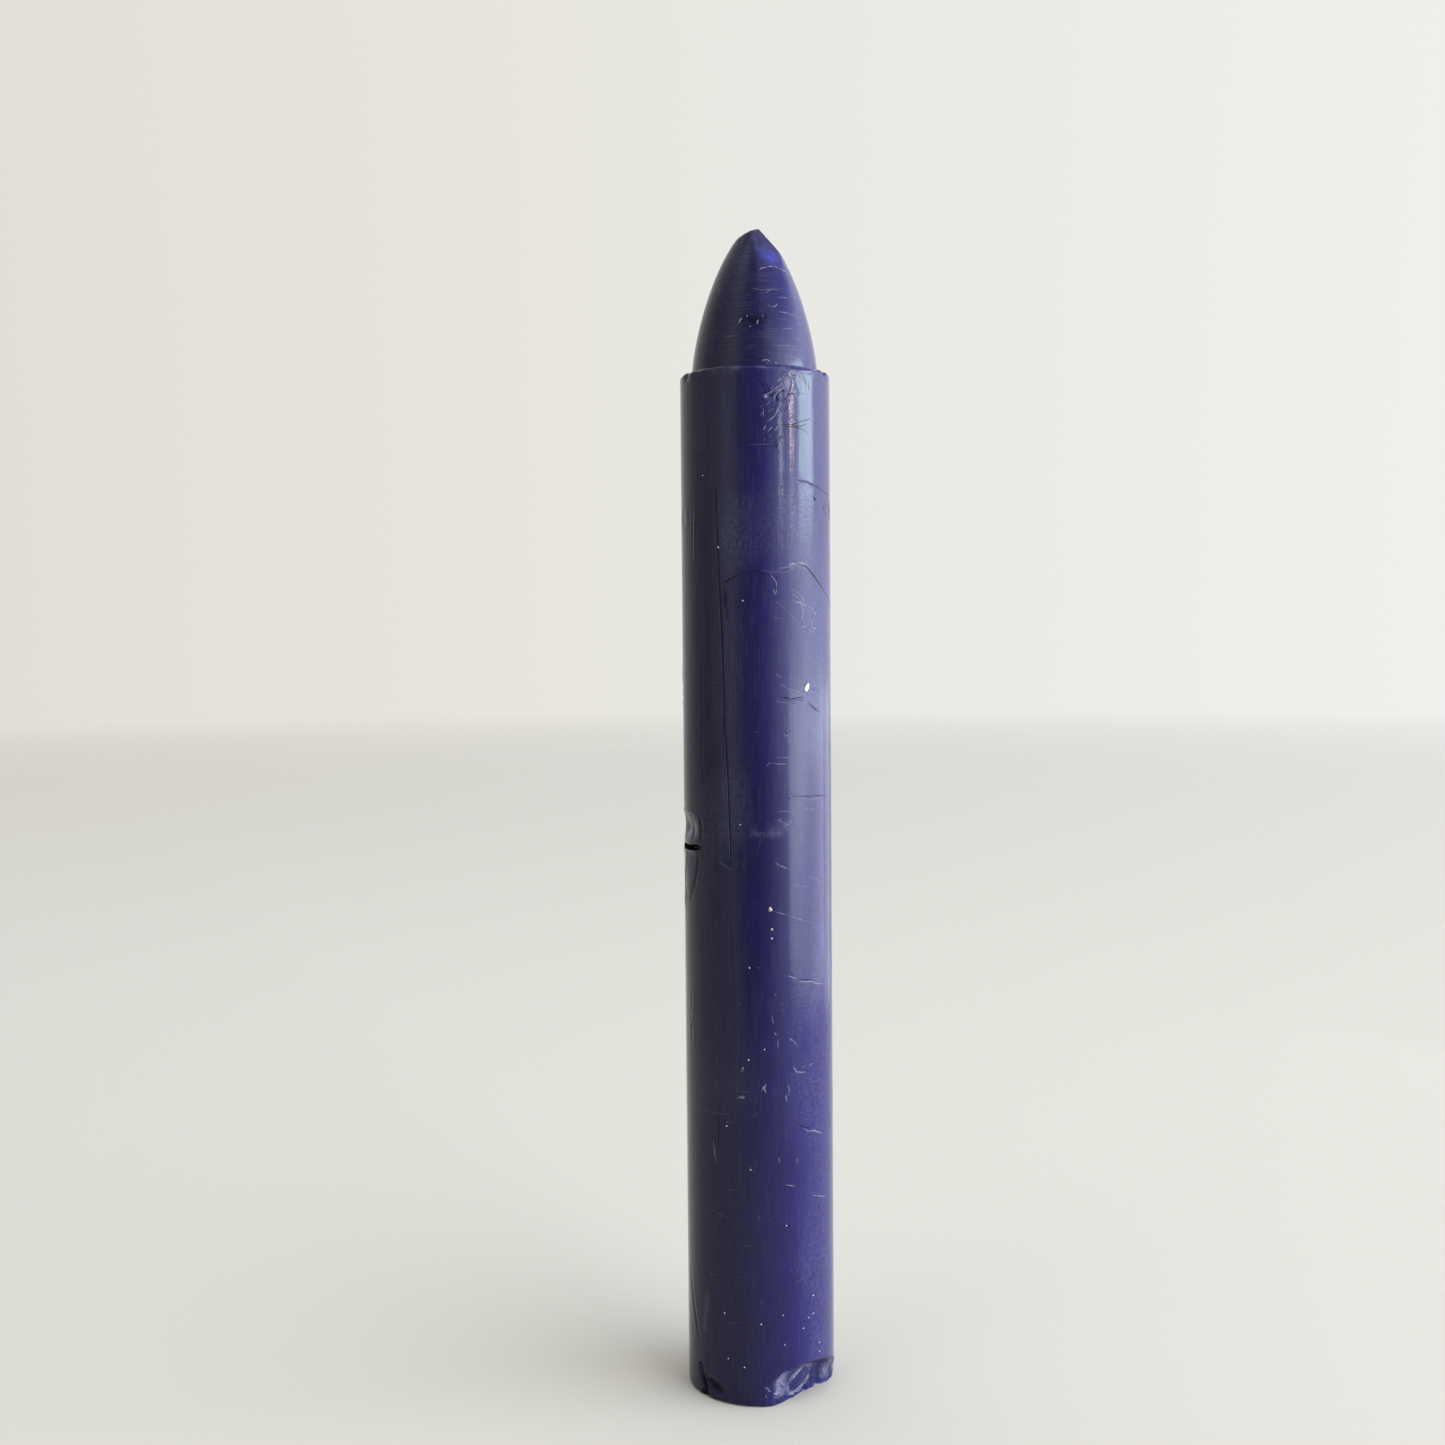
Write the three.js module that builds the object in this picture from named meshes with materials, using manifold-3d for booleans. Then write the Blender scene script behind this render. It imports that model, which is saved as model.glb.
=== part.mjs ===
// A thick wax crayon that stands on its base, tip up, with no paper wrapper.
//
// It is one casting: pigmented wax is poured into a straight mould and sets as a single stick, so
// the bullet nose, the ledge round it and the barrel are one body. Use has worn flats on the tip,
// and knocks have chipped the foot and gouged one side.
//
// Millimetres, +Z up. The origin is the middle of the base, and the front of the stick faces -Y.
// A bearing is measured round the stick from the front: 90 degrees is the +X side.

import * as THREE from 'three';
import * as BufferGeometryUtils from 'three/addons/utils/BufferGeometryUtils.js';
import Module from 'manifold-3d';

// ---------------------------------------------------------------- driving dimensions

const BARREL_DIAMETER = 11.5;
const MOULDED_LENGTH = 90;
const LEDGE_HEIGHT = 78.6;           // where the barrel ends and the nose begins
const NOSE_BASE_SHARE = 0.84;        // the nose's width at the ledge, as a share of the barrel's
const NOSE_HEIGHT_POWER = 1.45;      // these two powers round the nose off into a blunt bullet
const NOSE_WIDTH_POWER = 0.63;

const FOOT_EDGE_RADIUS = 0.3;
const RIM_EDGE_RADIUS = 0.35;
const LEDGE_FILLET = 0.2;

const SIDES = 72;                    // facets round the stick
const ROUNDING_STEPS = 4;            // facets along each rounded edge
const NOSE_STEPS = 16;

// Writing has left two flats that meet at the highest point, which lies a little off the axis.
// A flat slopes down towards its bearing, by its slant below the horizontal.
const PEAK_OFFSET = 0.5;
const PEAK_HEIGHT = 89.85;
const TOP_FLAT = { bearing: -90, slant: 27 };
const FRONT_FLAT = { bearing: 38, slant: 54 };

// Every chip is the bite of an ellipsoid: how far its middle stands outside the barrel wall, its
// bearing and height, and its half sizes inwards, round the stick and upwards.
const FOOT_CHIP_RIGHT = { bearing: 47, height: 0.1, outside: 0.35, inwards: 1.85, around: 4.5, upwards: 2.9 };
const FOOT_CHIP_LEFT = { bearing: -52, height: 0, outside: 0.3, inwards: 0.95, around: 2.7, upwards: 1.7 };
const THUMB_GOUGE = { bearing: -70, height: 44, outside: 0.5, inwards: 0.85, around: 2.6, upwards: 1.35 };
const NAIL_SLIT = { bearing: -68, height: 42.6, outside: 0.2, inwards: 0.75, around: 2.1, upwards: 0.16 };

const BARREL_RADIUS = BARREL_DIAMETER / 2;
const NOSE_BASE_RADIUS = BARREL_RADIUS * NOSE_BASE_SHARE;
const NOSE_LENGTH = MOULDED_LENGTH - LEDGE_HEIGHT;

const DEGREE = Math.PI / 180;

// ---------------------------------------------------------------- solids and booleans

const wasm = await Module();
wasm.setup();

/** A closed three.js geometry as a solid that can be joined and cut. */
function solid(geometry) {
  const bare = geometry.clone();
  bare.deleteAttribute('normal');
  bare.deleteAttribute('uv');
  const merged = BufferGeometryUtils.mergeVertices(bare, 1e-4);
  const mesh = new wasm.Mesh({
    numProp: 3,
    vertProperties: new Float32Array(merged.attributes.position.array),
    triVerts: new Uint32Array(merged.index.array),
  });
  return new wasm.Manifold(mesh);
}

/** A solid as a three.js geometry again. */
function geometryOf(manifold) {
  const { vertProperties, triVerts } = manifold.getMesh();
  const geometry = new THREE.BufferGeometry();
  geometry.setAttribute('position', new THREE.BufferAttribute(vertProperties, 3));
  geometry.setIndex(new THREE.BufferAttribute(triVerts, 1));
  geometry.computeVertexNormals();
  return geometry;
}

// ---------------------------------------------------------------- the casting

/** Points on a quarter circle from one angle to another, in degrees. */
function arc(centreX, centreY, radius, from, to) {
  const points = [];
  for (let i = 0; i <= ROUNDING_STEPS; i += 1) {
    const angle = (from + ((to - from) * i) / ROUNDING_STEPS) * DEGREE;
    points.push(new THREE.Vector2(centreX + radius * Math.cos(angle), centreY + radius * Math.sin(angle)));
  }
  return points;
}

/** The nose's outline: radius = base radius * (1 - (height share) ^ a) ^ b, a blunt bullet. */
function noseOutline() {
  const points = [];
  for (let i = 0; i < NOSE_STEPS; i += 1) {
    // Steps grow finer towards the tip, where the outline turns fastest.
    const share = Math.sin((i / NOSE_STEPS) * 90 * DEGREE);
    const height = LEDGE_HEIGHT + LEDGE_FILLET + (NOSE_LENGTH - LEDGE_FILLET) * share;
    const radius = NOSE_BASE_RADIUS * (1 - share ** NOSE_HEIGHT_POWER) ** NOSE_WIDTH_POWER;
    points.push(new THREE.Vector2(radius, height));
  }
  points.push(new THREE.Vector2(0, MOULDED_LENGTH));
  return points;
}

/** The stick as it leaves the mould: base, barrel, ledge and nose in one turned outline. */
function castStick() {
  const outline = [
    new THREE.Vector2(0, 0),
    ...arc(BARREL_RADIUS - FOOT_EDGE_RADIUS, FOOT_EDGE_RADIUS, FOOT_EDGE_RADIUS, -90, 0),
    ...arc(BARREL_RADIUS - RIM_EDGE_RADIUS, LEDGE_HEIGHT - RIM_EDGE_RADIUS, RIM_EDGE_RADIUS, 0, 90),
    new THREE.Vector2(NOSE_BASE_RADIUS + LEDGE_FILLET, LEDGE_HEIGHT),
    ...noseOutline(),
  ];
  return new THREE.LatheGeometry(outline, SIDES).rotateX(90 * DEGREE);
}

// ---------------------------------------------------------------- wear and damage

/** The bite of one chip: an ellipsoid turned to its bearing and set at its height. */
function bite({ bearing, height, outside, inwards, around, upwards }) {
  const reach = BARREL_RADIUS + outside;
  return new THREE.SphereGeometry(1, 32, 20)
    .rotateX(90 * DEGREE)
    .scale(around, inwards, upwards)
    .translate(0, -reach, height)
    .rotateZ(bearing * DEGREE);
}

/** What one flat has lost: a block whose underside lies in the flat and meets the highest point. */
function wornAway({ bearing, slant }) {
  const size = BARREL_DIAMETER;
  return new THREE.BoxGeometry(size, size, size)
    .translate(0, 0, size / 2)
    .rotateX(slant * DEGREE)
    .rotateZ(bearing * DEGREE)
    .translate(PEAK_OFFSET, 0, PEAK_HEIGHT);
}

function waxStick() {
  const bites = [FOOT_CHIP_RIGHT, FOOT_CHIP_LEFT, THUMB_GOUGE, NAIL_SLIT].map(bite);
  const removed = [...bites, ...[TOP_FLAT, FRONT_FLAT].map(wornAway)];
  let stick = solid(castStick());
  for (const geometry of removed) {
    stick = stick.subtract(solid(geometry));
  }
  return geometryOf(stick);
}

// ---------------------------------------------------------------- materials and assembly

function blueVioletWax() {
  return new THREE.MeshStandardMaterial({ color: 0x2a2260, roughness: 0.38, metalness: 0 });
}

function named(name, geometry, material) {
  const mesh = new THREE.Mesh(geometry, material);
  mesh.name = name;
  return mesh;
}

const crayon = new THREE.Group();
crayon.add(named('wax_stick', waxStick(), blueVioletWax()));

export default crayon;
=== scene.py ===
import math

import bpy
import numpy as np
from mathutils import Matrix, Vector


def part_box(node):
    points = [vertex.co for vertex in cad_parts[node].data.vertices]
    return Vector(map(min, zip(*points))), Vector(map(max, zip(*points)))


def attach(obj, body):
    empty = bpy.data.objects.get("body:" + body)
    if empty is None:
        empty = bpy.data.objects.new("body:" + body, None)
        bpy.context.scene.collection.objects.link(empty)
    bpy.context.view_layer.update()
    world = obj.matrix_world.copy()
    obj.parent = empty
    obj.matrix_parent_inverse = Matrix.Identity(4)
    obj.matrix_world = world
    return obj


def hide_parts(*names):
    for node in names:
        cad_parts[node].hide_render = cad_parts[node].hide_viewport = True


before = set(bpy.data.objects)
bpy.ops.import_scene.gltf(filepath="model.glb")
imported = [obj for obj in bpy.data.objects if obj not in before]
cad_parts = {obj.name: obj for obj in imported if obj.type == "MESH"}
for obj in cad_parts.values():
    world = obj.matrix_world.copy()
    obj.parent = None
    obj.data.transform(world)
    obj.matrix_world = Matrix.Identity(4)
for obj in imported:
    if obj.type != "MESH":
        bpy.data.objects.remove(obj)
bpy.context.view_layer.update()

# A bare wax crayon that stands on its foot. Shapes are worked out in millimetres and written to
# the meshes in metres. A bearing is measured round the stick in degrees from its front, which
# faces -Y, and 90 is the +X side. A spot on the stick is (bearing, height).

MM = 0.001
STICK_LOW, STICK_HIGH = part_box("wax_stick")

BARREL_RADIUS = (STICK_HIGH.x - STICK_LOW.x) / 2 / MM
PEAK_HEIGHT = STICK_HIGH.z / MM

# The casting's own shape, as the solid model has it.
MOULDED_LENGTH = 90.0
LEDGE_HEIGHT = 78.6
NOSE_BASE_RADIUS = 0.84 * BARREL_RADIUS
NOSE_HEIGHT_POWER = 1.45
NOSE_WIDTH_POWER = 0.63
FOOT_EDGE_RADIUS = 0.3
RIM_EDGE_RADIUS = 0.3

# The furthest that a mark may stand out from the barrel.
PROUDEST = 0.06

SEED = 41


# ------------------------------------------------------------------ grids and noise

def smooth(low, high, x):
    """0 below low and 1 above high, by the cubic 3t^2 - 2t^3 between them."""
    t = np.clip((x - low) / (high - low), 0, 1)
    return t * t * (3 - 2 * t)


def spread(low, high, count, bands, coarse):
    """Count places from low to high, set by their crowding: one each coarse step everywhere, plus
    one each fine step inside every band (from, to, fine), with soft ends. The crowding is summed
    along the line, and the places are where the sum passes equal shares."""
    line = np.linspace(low, high, 20001)
    crowding = np.full_like(line, 1 / coarse)
    for start, end, fine in bands:
        edge = 0.12 * (end - start)
        crowding += smooth(start - edge, start, line) * (1 - smooth(end, end + edge, line)) / fine
    total = np.concatenate([[0], np.cumsum((crowding[1:] + crowding[:-1]) / 2)])
    return np.interp(np.linspace(0, 1, count), total / total[-1], line)


def lattice_value(cell, seed):
    """A fixed pseudo-random number from -1 to 1 for each whole-number cell, by integer mixing."""
    x, y, z = (cell[..., i].astype(np.uint32) for i in range(3))
    h = x * np.uint32(374761393) + y * np.uint32(668265263) + z * np.uint32(2147483647)
    h = (h + np.uint32(seed * 97 + 13)) * np.uint32(1274126177)
    h ^= h >> np.uint32(13)
    h *= np.uint32(1103515245)
    h ^= h >> np.uint32(16)
    return h.astype(float) / 2147483648 - 1


def grain(points, size, seed):
    """Smooth noise from -1 to 1 with lumps about size across: random values on a cubic lattice,
    blended between its corners by the cubic 3t^2 - 2t^3. size is one number, or one per axis."""
    place = points / np.asarray(size, float) + 1000.5
    cell = np.floor(place)
    t = place - cell
    t = t * t * (3 - 2 * t)
    cell = cell.astype(np.int64)
    total = np.zeros(points.shape[:-1])
    for corner in np.ndindex(2, 2, 2):
        share = np.ones_like(total)
        for axis in range(3):
            share = share * (t[..., axis] if corner[axis] else 1 - t[..., axis])
        total += share * lattice_value(cell + np.array(corner), seed)
    return total


def turned(angle):
    """An angle in degrees brought into -180 to 180."""
    return (angle + 180) % 360 - 180


# ------------------------------------------------------------------ the outline of the casting

FOOT_RINGS = 12
EDGE_RINGS = 7
LEDGE_RINGS = 5
NOSE_RINGS = 72
BARREL_RINGS = 334
COLUMNS = 228
# How far apart rings and columns stand where the grid isn't crowded.
COARSE_HEIGHT = 0.45
COARSE_BEARING = 6.5

# Where the grid is crowded, as (from, to, step) in millimetres of height.
FINE_HEIGHTS = [
    (0.3, 3.1, 0.085), (31.8, 33.1, 0.16), (42, 42.9, 0.085), (42.9, 45.8, 0.18), (52.7, 55.3, 0.18),
    (58.7, 62.8, 0.22), (63.2, 64.0, 0.08), (69.7, 70.4, 0.10), (73.3, 78.2, 0.16),
]
# The same in degrees of bearing, round the side that carries the marks.
FINE_BEARINGS = [(-95, -62, 1.6), (-62, -2, 1.15), (-2, 60, 0.75), (60, 88, 2.0), (-25.6, -24.4, 0.4)]

# The long cracks that run round the stick, as spots.
LONG_CRACK = [(-25, 62.6), (-19, 62.95), (-10, 63.3), (3, 63.55), (13, 63.4), (20, 63.5), (25, 63.75),
              (34, 63.9), (40, 63.85), (50, 63.05), (59, 62.35), (78, 61.1), (104, 60.2)]
SHORT_CRACK = [(30, 70.25), (40, 70.1), (52, 69.85), (61, 69.55), (76, 69.25)]

# Rings lean with each crack, as (spots, the level that its ring keeps elsewhere, how far the lean
# reaches up and down).
RING_LEANS = [(LONG_CRACK, 63.6, 4.5), (SHORT_CRACK, 70.0, 2.6)]


def nose_radius(height):
    """Base radius x (1 - share of the nose's height ^ a) ^ b, a blunt bullet."""
    share = np.clip((height - LEDGE_HEIGHT) / (MOULDED_LENGTH - LEDGE_HEIGHT), 0, 1)
    return NOSE_BASE_RADIUS * (1 - share**NOSE_HEIGHT_POWER) ** NOSE_WIDTH_POWER


def outline():
    """The stick's outline from the middle of the foot to the tip, as radius and height of each
    ring, and the outward direction there as its radial and upward parts: a flat disc, a quarter
    circle, the straight barrel, a quarter circle, the flat ledge, and the bullet curve."""
    quarter = np.linspace(0, math.pi / 2, EDGE_RINGS)
    inner = BARREL_RADIUS - FOOT_EDGE_RADIUS
    rings = [
        (np.linspace(0, inner, FOOT_RINGS)[:-1], np.zeros(FOOT_RINGS - 1)),
        (inner + FOOT_EDGE_RADIUS * np.sin(quarter), FOOT_EDGE_RADIUS * (1 - np.cos(quarter))),
    ]
    heights = spread(FOOT_EDGE_RADIUS, LEDGE_HEIGHT - RIM_EDGE_RADIUS, BARREL_RINGS, FINE_HEIGHTS,
                     COARSE_HEIGHT)
    rings.append((np.full(BARREL_RINGS - 2, BARREL_RADIUS), heights[1:-1]))
    rim = BARREL_RADIUS - RIM_EDGE_RADIUS
    rings.append((rim + RIM_EDGE_RADIUS * np.cos(quarter),
                  LEDGE_HEIGHT - RIM_EDGE_RADIUS * (1 - np.sin(quarter))))
    ledge = np.linspace(rim, NOSE_BASE_RADIUS, LEDGE_RINGS)[1:]
    rings.append((ledge, np.full(LEDGE_RINGS - 1, LEDGE_HEIGHT)))
    share = np.sin(np.linspace(0, math.pi / 2, NOSE_RINGS))[1:]
    nose = LEDGE_HEIGHT + (MOULDED_LENGTH - LEDGE_HEIGHT) * share
    rings.append((nose_radius(nose), nose))
    radius = np.concatenate([r for r, _ in rings])
    height = np.concatenate([z for _, z in rings])
    along_r, along_z = np.gradient(radius), np.gradient(height)
    length = np.hypot(along_r, along_z)
    return radius, height, along_z / length, -along_r / length


def columns(height):
    """The bearing of every column at every ring. The columns lean with the long seam mark, so that
    it runs along them and not across them: each moves by the seam's own drift, and columns further
    from it move less, by a bell curve."""
    column = spread(-180, 180, COLUMNS + 1, FINE_BEARINGS, COARSE_BEARING)[:-1]
    drift = np.interp(height, [11.4, 41.3, 51.7, 69.8], [7, 4, 0, -6])
    bell = np.exp(-(((column + 25) / 28) ** 2))
    return column[None, :] + drift[:, None] * bell[None, :]


def leaning_rings(height, bearing):
    """The height of every ring at every column. Near a long crack a ring follows it round, so that
    the crack runs along the rings: each ring moves by the crack's drift from its level, and rings
    further up or down move less, by a bell curve."""
    leaning = np.repeat(height[:, None], bearing.shape[1], axis=1)
    for path, level, reach in RING_LEANS:
        ends = [(-180, level), (path[0][0] - 60, level), *path, (path[-1][0] + 60, level), (180, level)]
        ends = np.array([spot for spot in ends if -180 <= spot[0] <= 180], float)
        drift = np.interp(bearing, ends[:, 0], ends[:, 1]) - level
        leaning += drift * np.exp(-(((height[:, None] - level) / reach) ** 2))
    return leaning


# ------------------------------------------------------------------ marks on the wax

# Freshly broken; scuffed pale and painted pale as highlights; dark with dirt and painted shade;
# without polish; and light blue rather than dark violet, partly as painted light and shade by bearing.
MARKS = ("raw", "haze", "grime", "dull", "faded_and_lit")


class Surface:
    """The stick's skin as a grid of rings and columns: where each point lies before it is marked,
    how far the marks push it out, and how raw, hazy, dark, dull or light blue it is, each 0 to 1.
    The pale marks are partly painted highlights, the dark ones partly painted shade, and the light
    blue partly painted light and shade by bearing. The threads are the marks too fine for the grid:
    burrs of wax and dark lines that lie on it."""

    def __init__(self):
        self.radius, self.height, self.out_r, self.out_z = outline()
        self.bearing = columns(self.height)
        self.r = np.repeat(self.radius[:, None], self.bearing.shape[1], axis=1)
        self.z = leaning_rings(self.height, self.bearing)
        self.push = np.zeros_like(self.r)
        self.raw, self.haze, self.grime, self.dull, self.faded_and_lit = np.zeros((len(MARKS), *self.r.shape))
        self.threads = []

    def at_least(self, mark, amount):
        """Raises a mark to an amount wherever it is lower."""
        setattr(self, mark, np.maximum(getattr(self, mark), amount))

    def points(self):
        """The unmarked points in millimetres."""
        turn = np.radians(self.bearing)
        return np.stack([self.r * np.sin(turn), -self.r * np.cos(turn), self.z], axis=-1)

    def from_spot(self, bearing, height):
        """Each point's distance from a spot, round the stick and upwards, in millimetres."""
        return self.r * np.radians(turned(self.bearing - bearing)), self.z - height

    def from_line(self, path):
        """Each point's distance from a line of spots, and how far along it the nearest place is,
        from 0 to 1: the least distance to its straight stretches on the unrolled skin."""
        path = np.array(path, float)
        steps = np.hypot(np.radians(np.diff(path[:, 0])) * BARREL_RADIUS, np.diff(path[:, 1]))
        reach = np.concatenate([[0], np.cumsum(steps)])
        nearest = np.full_like(self.r, 1e9)
        along = np.zeros_like(self.r)
        for i in range(len(path) - 1):
            middle, (dx, dz) = (path[i] + path[i + 1]) / 2, path[i + 1] - path[i]
            dx = self.r * math.radians(dx)
            ax, az = self.from_spot(*middle)
            ax, az = ax + dx / 2, az + dz / 2
            length = np.maximum(dx * dx + dz * dz, 1e-9)
            t = np.clip((ax * dx + az * dz) / length, 0, 1)
            gap = np.hypot(ax - t * dx, az - t * dz)
            closer = gap < nearest
            nearest = np.where(closer, gap, nearest)
            along = np.where(closer, (reach[i] + t * steps[i]) / reach[-1], along)
        return nearest, along


def end_fade(along, fade):
    """1 along the middle of a line, falling to 0 over the first and last part of it."""
    return smooth(0, fade, along) * (1 - smooth(1 - fade, 1, along))


def groove(skin, path, width, depth, lip=0.3, haze=0.0, grime=0.0, fade=0.12):
    """A cut along a line of spots: a bell-shaped trough, with wax heaped into a low bell-shaped
    lip on each side, both fading over the first and last part of the line."""
    gap, along = skin.from_line(path)
    ends = end_fade(along, fade)
    trough = np.exp(-((gap / width) ** 2)) * ends
    heap = np.exp(-(((gap - 2 * width) / width) ** 2)) * ends
    skin.push += depth * (lip * heap - trough)
    skin.at_least("haze", haze * trough)
    skin.at_least("grime", grime * trough)


def ridge(skin, path, width, height, haze, fade=0.15):
    """Wax heaped along a line of spots: a bell-shaped bank that fades at both ends."""
    gap, along = skin.from_line(path)
    bank = np.exp(-((gap / width) ** 2)) * end_fade(along, fade)
    skin.push += height * bank
    skin.at_least("haze", haze * bank)


def scratches(skin, paths, width=0.045, height=0.022, haze=0.85, raw=0.0):
    """Fine scratches, each by the pale burr of wax that stands up along it, as threads of a half
    width and height."""
    skin.threads += [(path, width, height, haze, 0.0, raw) for path in paths]


def creases(skin, paths, width=0.045, height=0.006, grime=1.0):
    """Fine creases, each by the dark line that lies in it."""
    skin.threads += [(path, width, height, 0.0, grime, 0.0) for path in paths]


def dent(skin, spot, across, upright, depth, lean=0.0, rim=0.0, haze=0.0, grime=0.0):
    """A bowl pressed into the skin, or a swelling where depth is negative: a bell curve of the
    distance from the spot, measured in the half widths across and upright after turning by lean,
    with a ring of heaped wax round it where rim is above 0."""
    x, z = skin.from_spot(*spot)
    c, s = math.cos(math.radians(lean)), math.sin(math.radians(lean))
    gap = np.hypot((c * x + s * z) / across, (c * z - s * x) / upright)
    bowl = np.exp(-(gap**2))
    skin.push += depth * (rim * np.exp(-(((gap - 1.5) / 0.5) ** 2)) - bowl)
    skin.at_least("haze", haze * bowl)
    skin.at_least("grime", grime * bowl)


def stroke(bearing, height, length, lean):
    """A straight line from a spot, as its two end spots: it is length millimetres long, and lean is
    its angle above the level in radians."""
    swing = math.degrees(length * math.cos(lean) / BARREL_RADIUS)
    return [(bearing, height), (bearing + swing, height + length * math.sin(lean))]


def between(skin, low, high, soft=0.3):
    """1 over the part of the skin between two opposite corner spots, and 0 outside it, changing
    over a soft edge."""
    across, _ = skin.from_spot((low[0] + high[0]) / 2, 0)
    half = math.radians(high[0] - low[0]) / 2 * BARREL_RADIUS
    inside = 1 - smooth(half - soft, half + soft, np.abs(across))
    inside = inside * smooth(low[1] - soft, low[1] + soft, skin.z)
    return inside * (1 - smooth(high[1] - soft, high[1] + soft, skin.z))


# ------------------------------------------------------------------ the marks that this stick has

def hand_worn_skin(skin):
    """What handling leaves everywhere: slow waves in the wall, faint lengthwise drawing marks, and
    patches where the polish has gone. All are smooth noise of set sizes. The nose is duller, and
    has faint turning marks round it. The wax is painted a lighter blue towards the window and darker
    on the other side, as painted light and shade, less so near the foot. The lower half is painted
    dark on the dark side, as painted shade, and a little pale on the lit one, as painted sheen."""
    spots = skin.points()
    skin.push += 0.010 * grain(spots, 6.0, 1) + 0.004 * grain(spots, 2.2, 2)
    skin.push += 0.0025 * grain(spots, (0.5, 0.5, 9.0), 3)
    skin.push += 0.002 * grain(spots, 0.55, 4)
    rubbed = smooth(0.1, 0.8, grain(spots, (3.0, 3.0, 7.0), 6))
    skin.at_least("haze", 0.10 * rubbed)
    nose = smooth(LEDGE_HEIGHT, LEDGE_HEIGHT + 0.5, skin.z) * (skin.r < NOSE_BASE_RADIUS + 0.01)
    skin.push += nose * 0.005 * grain(spots, (4.0, 4.0, 0.22), 7)
    skin.push += nose * 0.003 * grain(spots, 0.3, 8)
    skin.at_least("dull", nose)
    bearing = turned(skin.bearing)
    # Painted light and shade: the colour goes from dark violet on the side away from the window to lighter
    # blue on the side towards it.
    lit_side = smooth(-22, 26, bearing) * (1 - smooth(130, 178, bearing))
    lit_nose = smooth(-16, 50, bearing) * (1 - smooth(110, 170, bearing))
    foot = smooth(50, 30, skin.z)
    barrel = 0.11 + 0.17 * foot + (0.79 - 0.09 * foot) * lit_side * (0.90 + 0.10 * foot)
    skin.faded_and_lit = barrel * (1 - nose) + (0.03 + 0.80 * lit_nose) * nose
    # Painted shade: the lower half of the dark side is darkened and loses its gloss.
    painted_low_shade = smooth(58, 38, skin.z) * (1 - smooth(14, 40, bearing) * (1 - smooth(130, 170, bearing)))
    skin.at_least("grime", 0.30 * painted_low_shade)
    # Painted sheen: the lower half of the lit side is paled a little.
    painted_low_sheen = smooth(50, 30, skin.z) * smooth(30, 50, bearing) * (1 - smooth(74, 95, bearing))
    skin.at_least("haze", 0.10 * painted_low_sheen)


def seam_marks(skin):
    """The long straight lines that an overlapping paper edge presses into the wall."""
    groove(skin, [(-31, 69.8), (-29, 63), (-27, 58.4), (-25, 51.7), (-23, 47.9), (-21, 41.4)],
           0.04, 0.09, lip=0.1, grime=1.0, fade=0.02)
    groove(skin, [(-21, 41), (-20, 33.6), (-21, 23.6), (-18, 16), (-17, 11)], 0.06, 0.012, grime=0.3)
    groove(skin, [(-46, 57), (-46, 50), (-46, 42.6)], 0.09, 0.02, lip=0.8, grime=0.35, fade=0.05)
    groove(skin, [(-25, 62.5), (-24, 61.7), (-22, 59.9)], 0.055, 0.09, grime=0.9, fade=0.1)
    scratches(skin, [[(-31, 41.9), (-29, 41.7), (-25, 41.35), (-19, 41.2)], [(-30, 42.2), (-28, 42.0)]],
              width=0.05, haze=0.4)


def cracks(skin):
    """Hairline cracks: narrow grooves, dark inside, with hardly any lip. The long one is faint
    where it crosses the middle, and opens where it runs down to the right."""
    groove(skin, LONG_CRACK[:4], 0.06, 0.05, lip=0.1, grime=0.8, fade=0.1)
    groove(skin, LONG_CRACK[3:9], 0.06, 0.018, lip=0.8, haze=0.3, grime=0.2, fade=0.1)
    groove(skin, LONG_CRACK[7:], 0.05, 0.05, lip=0.1, grime=0.85, fade=0.05)
    scratches(skin, [[(34, 64.0), (40, 63.9), (44, 63.6)], [(11, 63.2), (15, 62.7), (15, 62.2)]])
    creases(skin, [[(16, 63.2), (14.5, 62.6), (14, 62.1)], [(20, 63.5), (26, 63.75)]])
    scratches(skin, [[(12.5, 62.15), (14, 61.75), (15.5, 62.1)]], width=0.05)
    creases(skin, [
        [(16, 74.3), (24, 74.15), (33, 74.1), (39, 73.95), (44, 73.7)],
        [(27, 74.25), (37, 74.6), (47, 74.85)],
        [(6, 74.0), (8, 73.6)], [(20, 74.3), (35, 74.2), (43, 74.5)],
    ], width=0.035)
    groove(skin, SHORT_CRACK, 0.045, 0.04, lip=0.1, grime=0.8, fade=0.1)
    creases(skin, [[(67, 68.9), (63.5, 68.3), (67, 67.8)], [(81, 68.8), (80, 67.5)]], width=0.06)
    creases(skin, [[(49, 69.0), (52, 68.8)]], width=0.09)


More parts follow.
